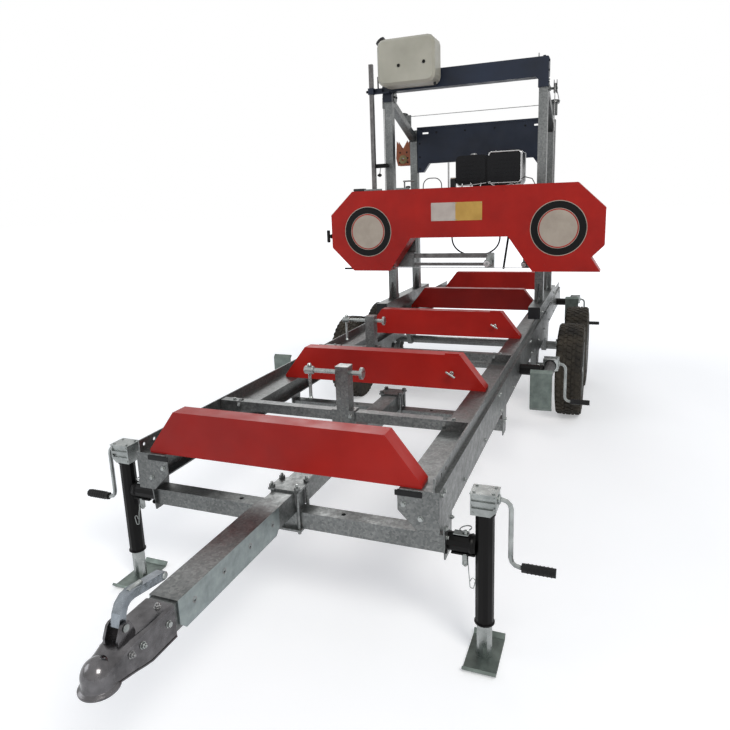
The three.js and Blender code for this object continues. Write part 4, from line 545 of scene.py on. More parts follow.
def rounded(points, radius, steps=8):
    """A line of points with its corners turned into arcs."""
    points = [Vector(p) for p in points]
    out = [points[0]]
    for before, corner, after in zip(points, points[1:], points[2:]):
        a, b = (before - corner).normalized(), (after - corner).normalized()
        angle = a.angle(b)
        reach = radius / math.tan(angle / 2)
        centre = corner + (a + b).normalized() * (radius / math.sin(angle / 2))
        first, last = corner + a * reach - centre, corner + b * reach - centre
        sweep = first.angle(last)
        for i in range(steps + 1):
            t = i / steps
            out.append(centre + (first * math.sin((1 - t) * sweep) + last * math.sin(t * sweep)) / math.sin(sweep))
    out.append(points[-1])
    return out


def corners(xs, zs, radius, steps=6):
    """A rectangle with round corners as (x, z) points."""
    out = []
    for x, z, start in ((xs[1], zs[1], 0), (xs[0], zs[1], 90), (xs[0], zs[0], 180), (xs[1], zs[0], 270)):
        cx, cz = (x - radius if x == xs[1] else x + radius), (z - radius if z == zs[1] else z + radius)
        for i in range(steps + 1):
            a = math.radians(start + 90 * i / steps)
            out.append((cx + radius * math.cos(a), cz + radius * math.sin(a)))
    return out


# Wheels: a treaded tyre on a pressed rim with eight windows
def tyre_block(piece, centre, x0, x1, a0, a1, skew, top, bottom):
    verts = []
    for radius in (bottom, top):
        ease = 0.9 if radius == top else 1.0
        mid_x, mid_a = (x0 + x1) / 2, (a0 + a1) / 2
        for k in range(3):
            for x in (x0, x1):
                a = a0 + (a1 - a0) * k / 2
                a = mid_a + (a - mid_a) * ease + skew * (x - mid_x) / 40.0
                px = mid_x + (x - mid_x) * ease
                verts.append((centre[0] + px, centre[1] + radius * math.cos(a), centre[2] + radius * math.sin(a)))
    faces = [(6, 7, 9, 8), (8, 9, 11, 10), (0, 2, 8, 6), (2, 4, 10, 8)]
    faces += [(1, 7, 9, 3), (3, 9, 11, 5), (0, 6, 7, 1), (4, 5, 11, 10)]
    piece.add(verts, faces, TYRE)


# Rows of the tread: its two edges, how far its blocks lean, their share of the pitch and their top
TREAD = ((-67, -40, 0.05, 0.66, 288.5), (-34, -19, -0.04, 0.78, 290.8), (-14, 14, 0.05, 0.78, 290.8),
         (19, 34, -0.04, 0.78, 290.8), (40, 67, 0.05, 0.66, 288.5))
TREAD_BLOCKS = 44
WINDOW_RING = 4  # the ring of the disc that has the windows


def wheel(name, side, y):
    centre = (side * WHEEL_X, y, WHEEL_Z)

    def on_disc(out, radius, a):
        """A point at an angle round the axle, out from the wheel's middle plane."""
        return centre[0] + side * out, y + radius * math.cos(a), WHEEL_Z + radius * math.sin(a)

    tyre = Piece(name + "_tyre", name)
    wall = [(164, -58), (170, -66), (182, -71), (206, -76), (236, -77.3)]
    wall += [(262, -75), (276, -69), (283, -60), (285, -46)]
    tyre.turned("x", centre, wall + [(r, -x) for r, x in reversed(wall)], TYRE, 72, closed=True)
    for x in (-77.2, 77.2):
        for radius in (190, 252):
            bead = [(centre[0] + x * 0.985, y + v, WHEEL_Z + w) for v, w in circle(72, radius)]
            tyre.tube(bead, 1.4, TYRE, 6, closed=True)
    step = 2 * math.pi / TREAD_BLOCKS
    for i in range(TREAD_BLOCKS):
        for row, (x0, x1, skew, share, top) in enumerate(TREAD):
            a = i * step + step * (0.5 if row % 2 else 0.0)
            tyre_block(tyre, centre, x0, x1, a, a + step * share, skew, top, 279)
    for x in SIDES:
        for i in range(TREAD_BLOCKS):
            a = (i + 0.1) * step
            x0, x1 = sorted((x * 66, x * 74))
            tyre_block(tyre, centre, x0, x1, a, a + step * 0.55, 0, 281, 262)
    done = tyre.done("tyre_rubber", 0.0)
    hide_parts(name)

    rim = Piece(name + "_rim", name)
    line = [(178, -69), (180, -74), (172, -74), (164, -58), (150, -40)]
    line += [(r, -x) for r, x in reversed(line)]
    rim.turned("x", centre, line + [(r - 5, x * 0.94) for r, x in reversed(line)], GALV, 64, closed=True)
    hub = [(0, -96), (30, -96), (42, -88), (46, -60), (46, 30), (40, 40)]
    hub += [(34, 44), (34, 62), (30, 68), (12, 72), (0, 73)]
    rim.turned("x", centre, [(r, x * side) for r, x in hub], ZINC, 40)
    for i in range(5):
        rim.nut(on_disc(47, 57, 2 * math.pi * i / 5 + 0.3), (side, 0, 0), 11)
    a = 1.1
    valve = Vector(on_disc(40, 138, a))
    rim.rod(valve, valve + Vector((side * 26, 8 * math.cos(a), 8 * math.sin(a))), 4.2, GRIP, 10)
    rim.done("galvanised", 0.6)

    disc = Piece(name + "_disc", name)
    rings = [(36, 40), (44, 46), (70, 47), (84, 40), (96, 34), (126, 36), (138, 44), (147, 42), (150, 34)]
    sides = 64
    verts = [on_disc(x, r, 2 * math.pi * i / sides) for r, x in rings for i in range(sides)]
    faces = []
    for k in range(len(rings) - 1):
        ring = quads(k * sides, (k + 1) * sides, sides)
        faces += [q for i, q in enumerate(ring) if k != WINDOW_RING or i % 8 not in (2, 3, 4, 5, 6)]
    disc.add(verts, faces, GALV)
    plate = disc.done("galvanised", 0.0)
    thick = plate.modifiers.new("sheet", "SOLIDIFY")
    thick.thickness = 0.004
    thick.offset = 0.0


for row, y in zip(("front", "rear"), AXLES_Y):
    wheel(f"wheel_{row}_left", -1, y)
    wheel(f"wheel_{row}_right", 1, y)

# Axle ends
axle = Piece("axle_details", "bed")
for y in AXLES_Y:
    for s in SIDES:
        for dz in (-22, 22):
            axle.bolt((s * 601, y + 36, 300 + dz), (0, 1, 0), 9)
            axle.bolt((s * 601, y - 36, 300 + dz), (0, -1, 0), 9)
axle.done("zinc_steel")


# Jacks
def jack_place(row, side):
    """The front jacks stand upright; the others are folded up along the rail."""
    if row == "front":
        return Matrix.Translation((-674.0 if side < 0 else 642.0, 90.0, 368.5))
    place = Matrix.Translation((side * 674.0, 1655.0 if row == "middle" else 3925.0, 490.0))
    return place @ Matrix.Rotation(-math.pi / 2, 4, "X")


def jack(row, side):
    hand = "left" if side < 0 else "right"
    place = jack_place(row, side)
    back = place.inverted()
    body, leg, crank = (f"jack_{k}_{row}_{hand}" for k in ("body", "leg", "crank"))
    repaint(body, lambda c: (back @ c).z > 109.0, ZINC)
    repaint(leg, lambda c: (back @ c).z < -346.0, FOOT)
    repaint(crank, lambda c: abs((back @ c).x) > 104.0, GRIP)
    extra = Piece(f"jack_trim_{row}_{hand}", body, place)
    extra.box((-40, 40), (-34, 34), (175.4, 178.4), ZINC, chamfer=1.2)
    for x in (-28, 28):
        for y in (-22, 22):
            extra.bolt((x, y, 178.4), (0, 0, 1), 5.5, head=3.2)
    for x in (-31, 31):
        for z in (118 if x * side < 0 else 136, 168):
            extra.bolt((x, -32, z), (0, -1, 0), 4.6, head=2.6, washer=False)
    boss = [(0, 0), (15, 0), (15, side * 4), (12, side * 7), (8.6, side * 7), (8.6, 0)]
    extra.turned("x", (side * 38, 0, 155), boss, ZINC, 24)
    band = [(28.5, -3), (31, -2), (31, 2), (28.5, 3), (24.6, 3), (24.6, -3)]
    for z in (-250, 105):
        extra.turned("z", (0, 0, z), band, BLACK, 32, closed=True)
    weld = [(28.5, -side * 32), (31.0, -side * 38), (28.5, -side * 44)]
    extra.turned("x", (0, 0, 0), weld, BLACK, 32, closed=True)
    # Spring pin with its pull ring through the swivel sleeve
    px = -side * 57
    extra.turned("z", (px, 0, 0), [(0, 28), (9, 28), (9, 37), (6, 40), (0, 40)], ZINC, 20)
    extra.tube([(px + 17 * v, 17 * u, 47 + 4 * v) for u, v in circle(32)], 1.9, ZINC, 8, closed=True)
    near, far = sorted((px, px - side * 26))
    extra.box((near - 10, far + 10), (-13, 13), (28.6, 31.6), ZINC, chamfer=1)
    if row == "front":
        # Tab under the sleeve, with a zinc pin hanging from it on a wire clip
        near, far = sorted((side * -26, side * -99))
        extra.box((near, far), (-16, 16), (-33.5, -27.5), BLACK, chamfer=2)
        extra.rod((px, -8, -28), (px, -8, -68), 9.5, ZINC, 20)
        extra.rod((px, -8, -64), (px, -8, -72), 5.5, ZINC, 16)
        wire = [(-48, -12, -52), (-44, -18, -88), (-40, -20, -132), (-30, -20, -136)]
        wire += [(-24, -20, -106), (-33, -20, -96), (-40, -20, -112)]
        extra.tube(rounded([(side * x, y, z) for x, y, z in wire], 4.5, 5), 1.5, ZINC, 8)
        extra.tube([(px + u, -18.5, -58 + v) for u, v in circle(20, 7)], 1.4, ZINC, 8, closed=True)
    extra.done("black_paint", 0.5)
    # Ribs of the crank's grip, and its end cap
    end = Piece(f"jack_grip_{row}_{hand}", crank, place)
    drop = (0, 0, -205.0) if row == "front" else (0, 205.0, 0)
    gx = side * 119.0
    for i in range(7):
        rib = (gx + side * (6 + 11 * i), drop[1], 155 + drop[2])
        end.turned("x", rib, [(13.5, -2.4), (15.0, -1.2), (15.0, 1.2), (13.5, 2.4)], GRIP, 24, closed=True)
    cap = [(0, 0), (9, 0), (9, side * 2), (0, side * 3)]
    end.turned("x", (gx + side * 82, drop[1], 155 + drop[2]), cap, ZINC, 20)
    end.done("zinc_steel", 0.4)


for row in ("front", "middle", "rear"):
    for side in SIDES:
        jack(row, side)

# Bed: bolts on the rails, the bunk feet, the cross tubes and the clamp bars
bed = Piece("bed_bolts", "bed")
for y in BUNKS_Y:
    for s in SIDES:
        for dy in (18, 47):
            bed.bolt((s * RAIL_X, y + dy, 548), (s, 0, 0), 8.5)
            bed.nut((s * 527, y + dy, 548), (-s, 0, 0), 8.0)
            bed.bolt((s * 436, y + dy, 571), (0, 0, 1), 8.5)
for k in range(11):
    y = 315 + 365 * k
    for s in SIDES:
        bed.nut((s * RAIL_X, y, 465), (s, 0, 0), 8.0)
for s in SIDES:
    bed.bolt((s * RAIL_X, 69, 419), (s, 0, 0), 8.0)
    bed.bolt((s * 425, -10, 518), (0, -1, 0), 9.0)
    bed.bolt((s * 476, -10, 479), (0, -1, 0), 9.0)
    bed.box((s * 441 - 41, s * 441 + 41), (-13.5, -10), (545, 561.6), GRIP, chamfer=1.2)
    for y in (52, 128):
        bed.bolt((s * RAIL_X, y, 352), (s, 0, 0), 8.5, BLACK)
        bed.nut((s * RAIL_X, y, 425), (s, 0, 0), 8.0)
for y in (90.0, 1150.0):
    for s in SIDES:
        for dy in (-17, 17):
            bed.bolt((s * RAIL_X, y + dy, 385), (s, 0, 0), 9.0)
for _, _, y in CLAMPS:
    for s in SIDES:
        bed.bolt((s * 455, y, 605), (0, 0, 1), 9.0)
for x in (-45.5, 45.5):
    for y in (56, 124):
        bed.rod((x, y, 486), (x, y, 496), 4.6, ZINC, 12)
bed.done("zinc_steel", 0.4)

drawbar = Piece("drawbar_bolts", "bed")
for y in (-485.0, -357.0, -229.0, -101.0):
    for s in SIDES:
        ring = [(5.2, 0), (8.2, 0), (8.2, s * 0.5), (5.2, s * 0.5)]
        drawbar.turned("x", (s * 41.9, y, 438.6), ring, STEEL, 24, closed=True)
drawbar.done("zinc_steel", 0.0)


# Coupler: a smooth cast dome with its socket, and the pressed neck that wraps the drawbar
def channel(half, top, low, radius, wall, steps=6):
    """An upside-down U as a closed line of (x, z) points, its outer corners rounded."""
    def line(h, t, r):
        bend = [math.pi / 2 * i / steps for i in range(steps + 1)]
        left = [(-h + r - r * math.cos(a), t - r + r * math.sin(a)) for a in bend]
        return [(-h, low)] + left + [(-x, z) for x, z in reversed(left)] + [(h, low)]
    return line(half, top, radius) + list(reversed(line(half - wall, top - wall, max(radius - wall, 1.0))))


def loft(piece, sections, material):
    """Joins closed sections of equal counts, each a (y, points) pair."""
    verts = [(x, y, z) for y, points in sections for x, z in points]
    n = len(sections[0][1])
    faces = [tuple(range(n)), tuple(range(len(verts) - 1, len(verts) - n - 1, -1))]
    for k in range(len(sections) - 1):
        faces += quads(k * n, (k + 1) * n, n)
    piece.add(verts, faces, material)


hitch = Piece("coupler_shell", "bed")
down = [math.pi / 2 * (1 - i / 14) for i in range(1, 15)]
back_up = [math.pi / 2 * i / 8 for i in range(1, 8)]
dome = [(0, 472)] + [(36 * math.cos(a), 434 + 38 * math.sin(a)) for a in down]
dome += [(36, 420), (37.5, 414.5), (41.5, 411.6), (44, 409.6), (44.4, 407), (43.6, 404.4), (26, 404.4), (26, 434)]
dome += [(26 * math.cos(a), 434 + 26 * math.sin(a)) for a in back_up] + [(0, 460)]
hitch.turned("z", (0, -758, 0), dome, COUPLER, 56)
# Sections of the neck: y, half width, top, lower edge and corner radius
NECK = ((-757, 34, 463, 410, 22), (-738, 35, 465, 409, 21), (-716, 36.4, 469, 406, 17), (-690, 38.6, 473, 401, 13),
        (-668, 40.6, 474.6, 396, 11), (-645.3, 42.2, 474.9, 392.2, 9), (-560, 42.3, 474.9, 392.2, 8))
loft(hitch, [(y, channel(half, top, low, radius, 4.4)) for y, half, top, low, radius in NECK], COUPLER)
hitch.box((-42, 42), (-645, -560), (392.2, 396.4), COUPLER, chamfer=1.5)
for s in SIDES:
    ear = [(-716, 466), (-664, 466), (-664, 478), (-676, 508), (-684, 512), (-696, 512), (-704, 508), (-716, 484)]
    hitch.prism("x", ear, sorted((s * 15, s * 21)), COUPLER)
    hitch.rod((s * 21, -690, 500), (s * 24, -690, 500), 9, ZINC, 20)
    for y, out in ((-668, 40.4), (-700, 37.6)):
        hitch.nut((s * out, y, 447), (s, 0, 0), 9.0, STEEL if y < -690 else ZINC)
    # Rolled lip along the lower edge of the neck
    lip = ((35.5, -738, 409), (39.6, -690, 401), (41.4, -668, 396), (43.1, -646, 392.6), (43.1, -562, 392.6))
    hitch.tube([(s * x, y, z) for x, y, z in lip], 2.1, COUPLER, 10)
    hitch.bolt((s * 42.3, -584, 440), (s, 0, 0), 9.0, ZINC)
hitch.rod((-15, -690, 500), (15, -690, 500), 4.6, ZINC, 16)
hitch.nut((12, -580, 474.9), (0, 0, 1), 9.0, STEEL)
shell = hitch.done("cast_wheel", 0.5)
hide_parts("coupler_body")

# Coupler lever: its sprung latch and the rolled grip
grip = Piece("lever_trim", "coupler_lever")
grip.rod((-15, -545, 534), (15, -545, 534), 9.0, ZINC, 20)
grip.box((-6, 6), (-650, -610), (548, 562), ZINC, chamfer=2)
grip.done("zinc_steel", 0.5)


# Log clamps and stops
def screw_thread(piece, start, end, radius, pitch, material):
    """A helical thread along X."""
    (x0, y, z), x1 = start, end
    count = int(abs(x1 - x0) / pitch * 12)
    points = []
    for i in range(count + 1):
        a = 2 * math.pi * i / 12
        points.append((x0 + (x1 - x0) * i / count, y + radius * math.cos(a), z + radius * math.sin(a)))
    piece.tube(points, 0.4, material, 6)


for row, x, y in CLAMPS:
    screw = Piece(f"clamp_screw_trim_{row}", f"clamp_screw_{row}")
    z, left, pad = 752, x - 143, x + 69
    screw_thread(screw, (x - 124, y, z), x - 27, 8.38, 3.0, ZINC)
    low, high = z - 112, z + 22
    screw.rod((left, y, low), (left, y, high), 6.4, ZINC, 16)
    for knob_z in (low + 2, high - 2):
        screw.turned("z", (left, y, knob_z), [(0, -7), (6, -6), (9, 0), (6, 6), (0, 7)], ZINC, 20)
    screw.turned("x", (left, y, z), [(0, -19), (13, -19), (15.5, -16), (15.5, 16), (13, 19), (0, 19)], ZINC, 24)
    screw.turned("x", (pad, y, z), [(0, -1), (22.5, -1), (22.5, 8), (20, 10), (0, 10)], ZINC, 32)
    screw.done("zinc_steel", 0.4)
    post = Piece(f"clamp_post_trim_{row}", f"clamp_post_{row}")
    post.box((x - 26, x + 26), (y - 26, y + 26), (776, 779), ZINC, chamfer=1)
    post.bolt((x + 30, y - 25.5, 589), (0, -1, 0), 9)
    post.done("galvanised", 0.4)

for row, y in zip(("front", "rear"), BUNKS_Y[1:3]):
    knob = Piece(f"stop_knob_{row}", "bed")
    knob.turned("y", (333, y, 640), [(0, 0), (9, 0), (9, -5), (6, -7), (6, -26), (0, -26)], ZINC, 20)
    knob.rod((313, y - 30, 652), (353, y - 30, 628), 4.5, ZINC, 12)
    knob.done("zinc_steel", 0.4)

# Carriage: bolts, roller pins, wipers, pulleys, and the lower bracket and pointer of the height rod
carriage = Piece("carriage_trim", "carriage")
for s in SIDES:
    for y in (2700.0, 3280.0):
        for dy in (-54.4, 54.4):
            for z in (712, 706):
                carriage.bolt((s * 514.2, y + dy, z), (s, 0, 0), 8.5)
    for y in (2529.0, 3414.0):
        carriage.turned("x", (s * 516.5, y, 642.3), [(0, -14), (12, -14), (12, 14), (0, 14)], ZINC, 24)
        carriage.bolt((s * 549, y, 642.3), (s, 0, 0), 12)
    for y in (2433.0, 3510.0):
        carriage.box((s * 511 - 37, s * 511 + 37), (y - 1.5, y + 1.5), (612.5, 686.5), PLASTIC, chamfer=3)
    for z in (2075, 2048):
        carriage.bolt((s * 542.2, 2674, z), (s, 0, 0), 8.5)
    carriage.bolt((s * 579.2, 2787.1, 2036.8), (s, 0, 0), 11)
    tilt = Matrix.Translation((s * 542.9, 3120.6, 1996.3)) @ Matrix.Rotation(math.radians(-12.1), 4, "X")
    lid = [(0, 6.6), (33, 6.6), (34, 7.6), (34, 9), (31, 10.2), (0, 10.2)]
    carriage.turned("z", (0, 0, 0), lid, BLACK, 36, matrix=tilt)
    carriage.bolt((0, 0, 10.2), (0, 0, 1), 10, ZINC, matrix=tilt)
    for x in (-8.5, 8.5):
        block = [(2762, 2008), (2812, 2008), (2812, 2070), (2800, 2088), (2774, 2088), (2762, 2076)]
        carriage.prism("x", block, sorted((s * ROPE_X + x - 0.9, s * ROPE_X + x + 0.9)), BLACK)
    carriage.turned("x", (s * 482.6, 2745, 2070), [(0, 0), (38, 0), (38, -s * 3), (0, -s * 3)], GALV, 36)
    for dy in (-20, 20):
        carriage.bolt((s * 479.4, 2745 + dy, 2070), (-s, 0, 0), 8, BLACK)
carriage.box((-598.2, -515.0), (2640.5, 2650.0), (1602, 1630), BLACK, chamfer=1.5)
carriage.box((-536, -515), (2650, 2665.5), (1606, 1626), BLACK)
carriage.turned("y", (-574, 2636, 1554), [(0, 0), (10, 0), (12, 3), (12, 11), (9, 14), (0, 14)], BLACK, 20)
carriage.rod((-590, 2643, 1554), (-560, 2643, 1554), 6, BLACK, 16)
carriage.rod((-574, 2643, 1554), (-567, 2644, 1604), 3.4, STEEL, 12)
carriage.done("galvanised", 0.5)

# Top beam: bolts at both posts, and the height rod's upper bracket with its knob
beam = Piece("top_beam_bolts", "carriage")
for s in SIDES:
    beam.rod((s * 477, 2700, 2210), (s * 477, 2700, 2240), 4.2, STEEL, 14)
    beam.nut((s * 477, 2700, 2210), (0, 0, 1), 7, STEEL)
    for z in (2060, 2130, 2185):
        beam.bolt((s * 542.1, 2672, z), (s, 0, 0), 7, BLACK)
beam.box((-598.3, -538), (2642, 2648.5), (2086, 2122), NAVY, chamfer=1)
beam.rod((-568, 2645, 2122), (-568, 2645, 2196), 5, BLACK, 14)
beam.turned("x", (-631.6, 2634, 2104), [(0, 0), (7, 0), (9, -4), (9, -15), (7, -18), (0, -18)], BLACK, 20)
beam.done("navy_paint", 0.4)

# Rear panel: its two folded strips and its bolts
panel = Piece("rear_panel_strip", "carriage")
panel.box((-482, 482), (3256, 3259.2), (1904, 1920), NAVY, chamfer=0.8)
panel.box((-482, 482), (3256.6, 3259.2), (1652, 1662), NAVY, chamfer=0.8)
for x in (-330, -110, 110, 330):
    panel.bolt((x, 3259, 1874), (0, -1, 0), 7, BLACK)
for s in SIDES:
    for z in (1612, 1700, 1800):
        panel.bolt((s * 463, 3259, z), (0, -1, 0), 7, BLACK)
panel.done("navy_paint", 0.4)

# Water tank: its bolts and its outlet
tank = Piece("tank_trim", "carriage")
for x, z in ((-370, 2220), (-203, 2227)):
    tank.bolt((x, 2488, z), (0, -1, 0), 11, BLACK)
tank.rod((-150, 2560, 2112), (-150, 2560, 2092), 9, PLASTIC, 16)
tank.done("tank_plastic", 0.5)

# Lift rope: the fixed run over the pulleys, and the hanging runs between it and the rising head
fixed_z, end_z = 2030.0, 1283.3
half_route = [(-ROPE_X, ROPE_Y, end_z), (-ROPE_X, ROPE_Y, 2074), (-ROPE_X, 3150, 1990)]
bend = 28.3 / math.cos(math.pi / 9)
line = rounded(half_route + [(-x, y, z) for x, y, z in reversed(half_route)], bend, 12)
over = [p for p in line if p.z > fixed_z + 1 or p.y > ROPE_Y + 3]
fixed = [Vector((-ROPE_X, ROPE_Y, fixed_z))] + over + [Vector((ROPE_X, ROPE_Y, fixed_z))]
fixed = [p for k, p in enumerate(fixed) if k == 0 or (p - fixed[k - 1]).length > 0.01]
top_run = Piece("rope_over_pulleys", "carriage").tube(fixed, 2.6, ROPE, 10).done("zinc_steel", 0.0)
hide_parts("lift_rope")
for s, hand in zip(SIDES, ("left", "right")):
    x, low = s * ROPE_X, 1284
    points = [(x, ROPE_Y, low + (fixed_z - low) * i / 60) for i in range(61)]
    run = Piece(f"rope_run_{hand}", None).tube(points, 2.6, ROPE, 10).done("zinc_steel", 0.0)
    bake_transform(run)
    ends = Piece(f"rope_end_{hand}", "saw_head")
    for z in (1312, 1338):
        ends.box((x - 7, x + 7), (ROPE_Y - 7, ROPE_Y + 7), (z, z + 9), ZINC, chamfer=2)
        ends.nut((x - 3, ROPE_Y + 7, z + 4.5), (0, 1, 0), 4.5)
    ends.turned("z", (x, ROPE_Y, end_z), [(0, 0), (11, 0), (11, 4), (7, 8), (7, 20), (0, 20)], ZINC, 20)
    ends.done("zinc_steel", 0.4)

# Winch: drum, flanges, wound rope, toothed gear, shaft, crank and grip
winch_x, winch_y, winch_z = -596.0, 3280.0, 1700.0
barrel, rope_radius, pitch, turns, steps = 22, 2.5, 5.9, 4, 32
gear_y, gear_teeth = winch_y + 27.2, 28
crank_y, crank_x = gear_y + 52, winch_x + 143
drum = Piece("winch_works", "winch_drum")
drum.rod((winch_x, winch_y - 19.5, winch_z), (winch_x, winch_y + 19.5, winch_z), barrel, ZINC, 32)
flange = [(9.5, -1.5), (40, -1.5), (42, -0.6), (42, 0.6), (40, 1.5), (9.5, 1.5)]
for s in SIDES:
    drum.turned("y", (winch_x, winch_y + s * 20.5, winch_z), flange, YELLOW, 40, closed=True)
reach, start_y, inside = barrel + rope_radius - 1, winch_y - turns / 2 * pitch, winch_x + barrel - rope_radius
winding = [(inside, start_y, winch_z)]
for i in range(turns * steps + 1):
    a = 2 * math.pi * i / steps
    winding.append((winch_x + reach * math.cos(a), start_y + pitch * i / steps, winch_z + reach * math.sin(a)))
winding.append((inside, start_y + turns * pitch, winch_z))
drum.tube(winding, rope_radius, ROPE, 10)
teeth = []
for i in range(gear_teeth):
    for share, radius in ((0.0, 33.5), (0.25, 33.5), (0.4, 37), (0.7, 37), (0.85, 33.5)):
        a = 2 * math.pi * (i + share) / gear_teeth
        teeth.append((winch_x + radius * math.cos(a), winch_z + radius * math.sin(a)))
drum.prism("y", teeth, (gear_y, gear_y + 7), ZINC)
drum.rod((winch_x, winch_y - 27, winch_z), (winch_x, crank_y + 7, winch_z), 8.8, ZINC, 20)
drum.box((winch_x - 12, crank_x + 10), (crank_y - 4, crank_y + 4), (winch_z - 11, winch_z + 11), YELLOW, chamfer=5)
drum.nut((winch_x, crank_y + 4, winch_z), (0, 1, 0), 10)
grip_line = [(0, 4), (10, 4), (12, 10), (11, 30), (12, 60), (11, 80), (7, 84), (0, 84)]
drum.turned("y", (crank_x, crank_y, winch_z), grip_line, GRIP, 24)
works = drum.done("yellow_zinc", 0.4)
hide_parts("winch_drum")
brake = Piece("winch_trim", "carriage")
face_y = winch_y - 26.4
brake_disc = [(12, 0), (30, 0), (33, -2), (33, -5), (30, -6), (12, -6)]
brake.turned("y", (winch_x, face_y, 1690), brake_disc, KHAKI, 36, closed=True)
for x, z in ((-560, 1668), (-628, 1668), (-566, 1742), (-620, 1742), (-560, 1700)):
    brake.bolt((x, face_y, z), (0, -1, 0), 7, BLACK)
brake.done("yellow_zinc", 0.4)

# Saw head: bare discs over both band wheels, the bare plate in two colours, and the cover's fittings
cover = Piece("cover_discs", "saw_head")
for x in (-576.0, 646.0):
    layers = [(165, 0.6, DISC), (161, 1.0, BLACK), (120, 1.3, DISC), (117, 1.6, RED), (110, 1.9, DISC)]
    for radius, proud, material in layers:
        cover.turned("y", (x, COVER_FRONT, 1180), [(0, 0), (radius, 0), (radius, -proud), (0, -proud)], material, 72)
cover.done("red_paint", 0.0)
plate = Piece("cover_plate", "saw_head")
for x0, x1, colour in ((-138, 20, PALE), (20, 189, YELLOW_PLATE)):
    plate.box((x0, x1), (COVER_FRONT - 1.0, COVER_FRONT), (1240, 1354), colour, chamfer=1)
for x in (-132, 14, 26, 183):
    for z in (1246, 1348):
        plate.turned("y", (x, COVER_FRONT - 1.0, z), [(0, 0), (3, 0), (2.2, -1.2), (0, -1.6)], ZINC, 16)
plate.done("red_paint", 0.0)

trim = Piece("cover_trim", "saw_head")
trim.box((-670, -594), (2384, 2424), (COVER_TOP, 1463), PLASTIC, chamfer=3)
for xs in ((-594, -472), (-373, -284)):
    trim.box(xs, (2386, 2398), (COVER_TOP, 1457), GALV, chamfer=1)
trim.rod((-349, 2470, 1500), (-272, 2470, 1500), 5, GALV, 14)
trim.rod((-340, 2470, 1446.4), (-340, 2470, 1500), 5, GALV, 14)
trim.turned("z", (-357, 2600, 1447), [(0, 0), (7, 0), (7, 8), (16, 10), (17, 18), (14, 24), (0, 26)], PLASTIC, 20)
trim.rod((-51, 2500, 1446.4), (-51, 2500, 1606), 5.5, STEEL, 14)
trim.rod((-762, 2400, 932), (-698, 2400, 932), 6, BLACK, 12)
trim.rod((322, 2590, 1131), (291, 2590, 912), 7, BLACK, 16)
for x, z in ((-250, 1420), (320, 1420), (-500, 960), (570, 960)):
    trim.bolt((x, COVER_FRONT, z), (0, -1, 0), 5.5, RED, head=2.5)
for x in (-330, 400):
    trim.box((x - 16, x + 16), (2410, 2440), (1445.5, 1450), ZINC, chamfer=1.5)
    trim.box((x - 10, x + 10), (2404, 2412), (1440, 1452), ZINC, chamfer=1.5)
trim.done("red_paint", 0.4)

# Tension handle: collar and the ribs of its grip
handle = Piece("tension_trim", "tension_handle")
collar = [(9.2, 8), (12, 8), (15, 4), (15, -4), (12, -8), (9.2, -8)]
handle.turned("x", (-875, 2452, 1150), collar, BLACK, 24, closed=True)
rib = [(12, -3), (12.25, -2), (12.25, 2), (12, 3), (11, 0)]
for z in (1122, 1178):
    handle.turned("z", (-898, 2452, z), rib, GRIP, 24, closed=True)
handle.done("black_paint", 0.4)

# Blade guides: bearings, clamp bolts and the knob that locks the sliding arm
for name, body, x, z, radius, wide in (("fixed", "saw_head", 442.0, 955.3, 13.0, 9),
                                       ("sliding", "guide_arm", 212.0, 962.3, 20.0, 15)):
    guide = Piece(f"guide_trim_{name}", body)
    guide.turned("y", (x, 2420.6, z), [(0, 0), (7, 0), (7, -5), (0, -5)], ZINC, 6)
    race = [(8, 0), (radius, 0), (radius, -1.2), (8, -1.2)]
    guide.turned("y", (x, 2420.8, z), race, CHROME, 28, closed=True)
    for dx in (-wide, wide):
        guide.bolt((x + dx, 2537.4, 1010), (0, -1, 0), 5.5)
    guide.done("zinc_steel", 0.3)
knob = Piece("guide_clamp_knob", "saw_head")
knob.rod((-365, 2553, 1026.6), (-365, 2553, 1060), 5, ZINC, 14)
knob.turned("z", (-365, 2553, 1056), [(0, 0), (15, 0), (17, 5), (15, 13), (0, 16)], PLASTIC, 12)
knob.done("black_paint", 0.4)


# Water hose, throttle and starter cables: both ends of each are on the saw head
def hung_cord(name, points, radius, sides, stands_for=None):
    line = Piece(name, "saw_head").tube(points, radius, HOSE, sides).done("hose_rubber", 0.0)
    if stands_for:
        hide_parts(stands_for)


start_x, end_x, top, low = -51, 268, 1132.7, 1002.0
hose_points = []
for i in range(37):
    t = i / 36
    x = start_x + (end_x - start_x) * (0.5 - 0.5 * math.cos(math.pi * t))
    z = top - (top - low) * math.sin(math.pi * t) ** 0.8
    hose_points.append((x, 2584, z))
hung_cord("water_line", hose_points, 5, 14, "water_hose")

# Engine: air cleaner with its cap, chrome guard, exhaust cover, cooling slots, switch box and bolts
engine = Piece("engine_trim", "saw_head")
for depth, inset in ((2836, 4), (2831, 12)):
    outline = corners((-80 + inset, 136 - inset), (1478 + inset, 1660 - inset), 34 - inset / 2)
    engine.prism("y", outline, (depth, 2842), ENGINE)
for k in range(5):
    engine.box((-52, 108), (2828.6, 2832), (1508 + 27 * k, 1513 + 27 * k), ENGINE, chamfer=1.5)
engine.turned("z", (30, 2905, 1663), [(0, 0), (22, 0), (24, 5), (20, 14), (0, 17)], STEEL, 24)
engine.tube(rounded([(-74, 2834, 1478), (-60, 2826, 1462), (60, 2822, 1466), (132, 2826, 1474)], 20, 6), 4, CHROME, 12)
for x in (-40, 20, 90):
    engine.rod((x, 2832, 1450), (x + 6, 2834, 1476), 5, CHROME, 12)
guard = [(152, 2802, 1470), (152, 2802, 1672), (366, 2802, 1672), (366, 2802, 1470)]
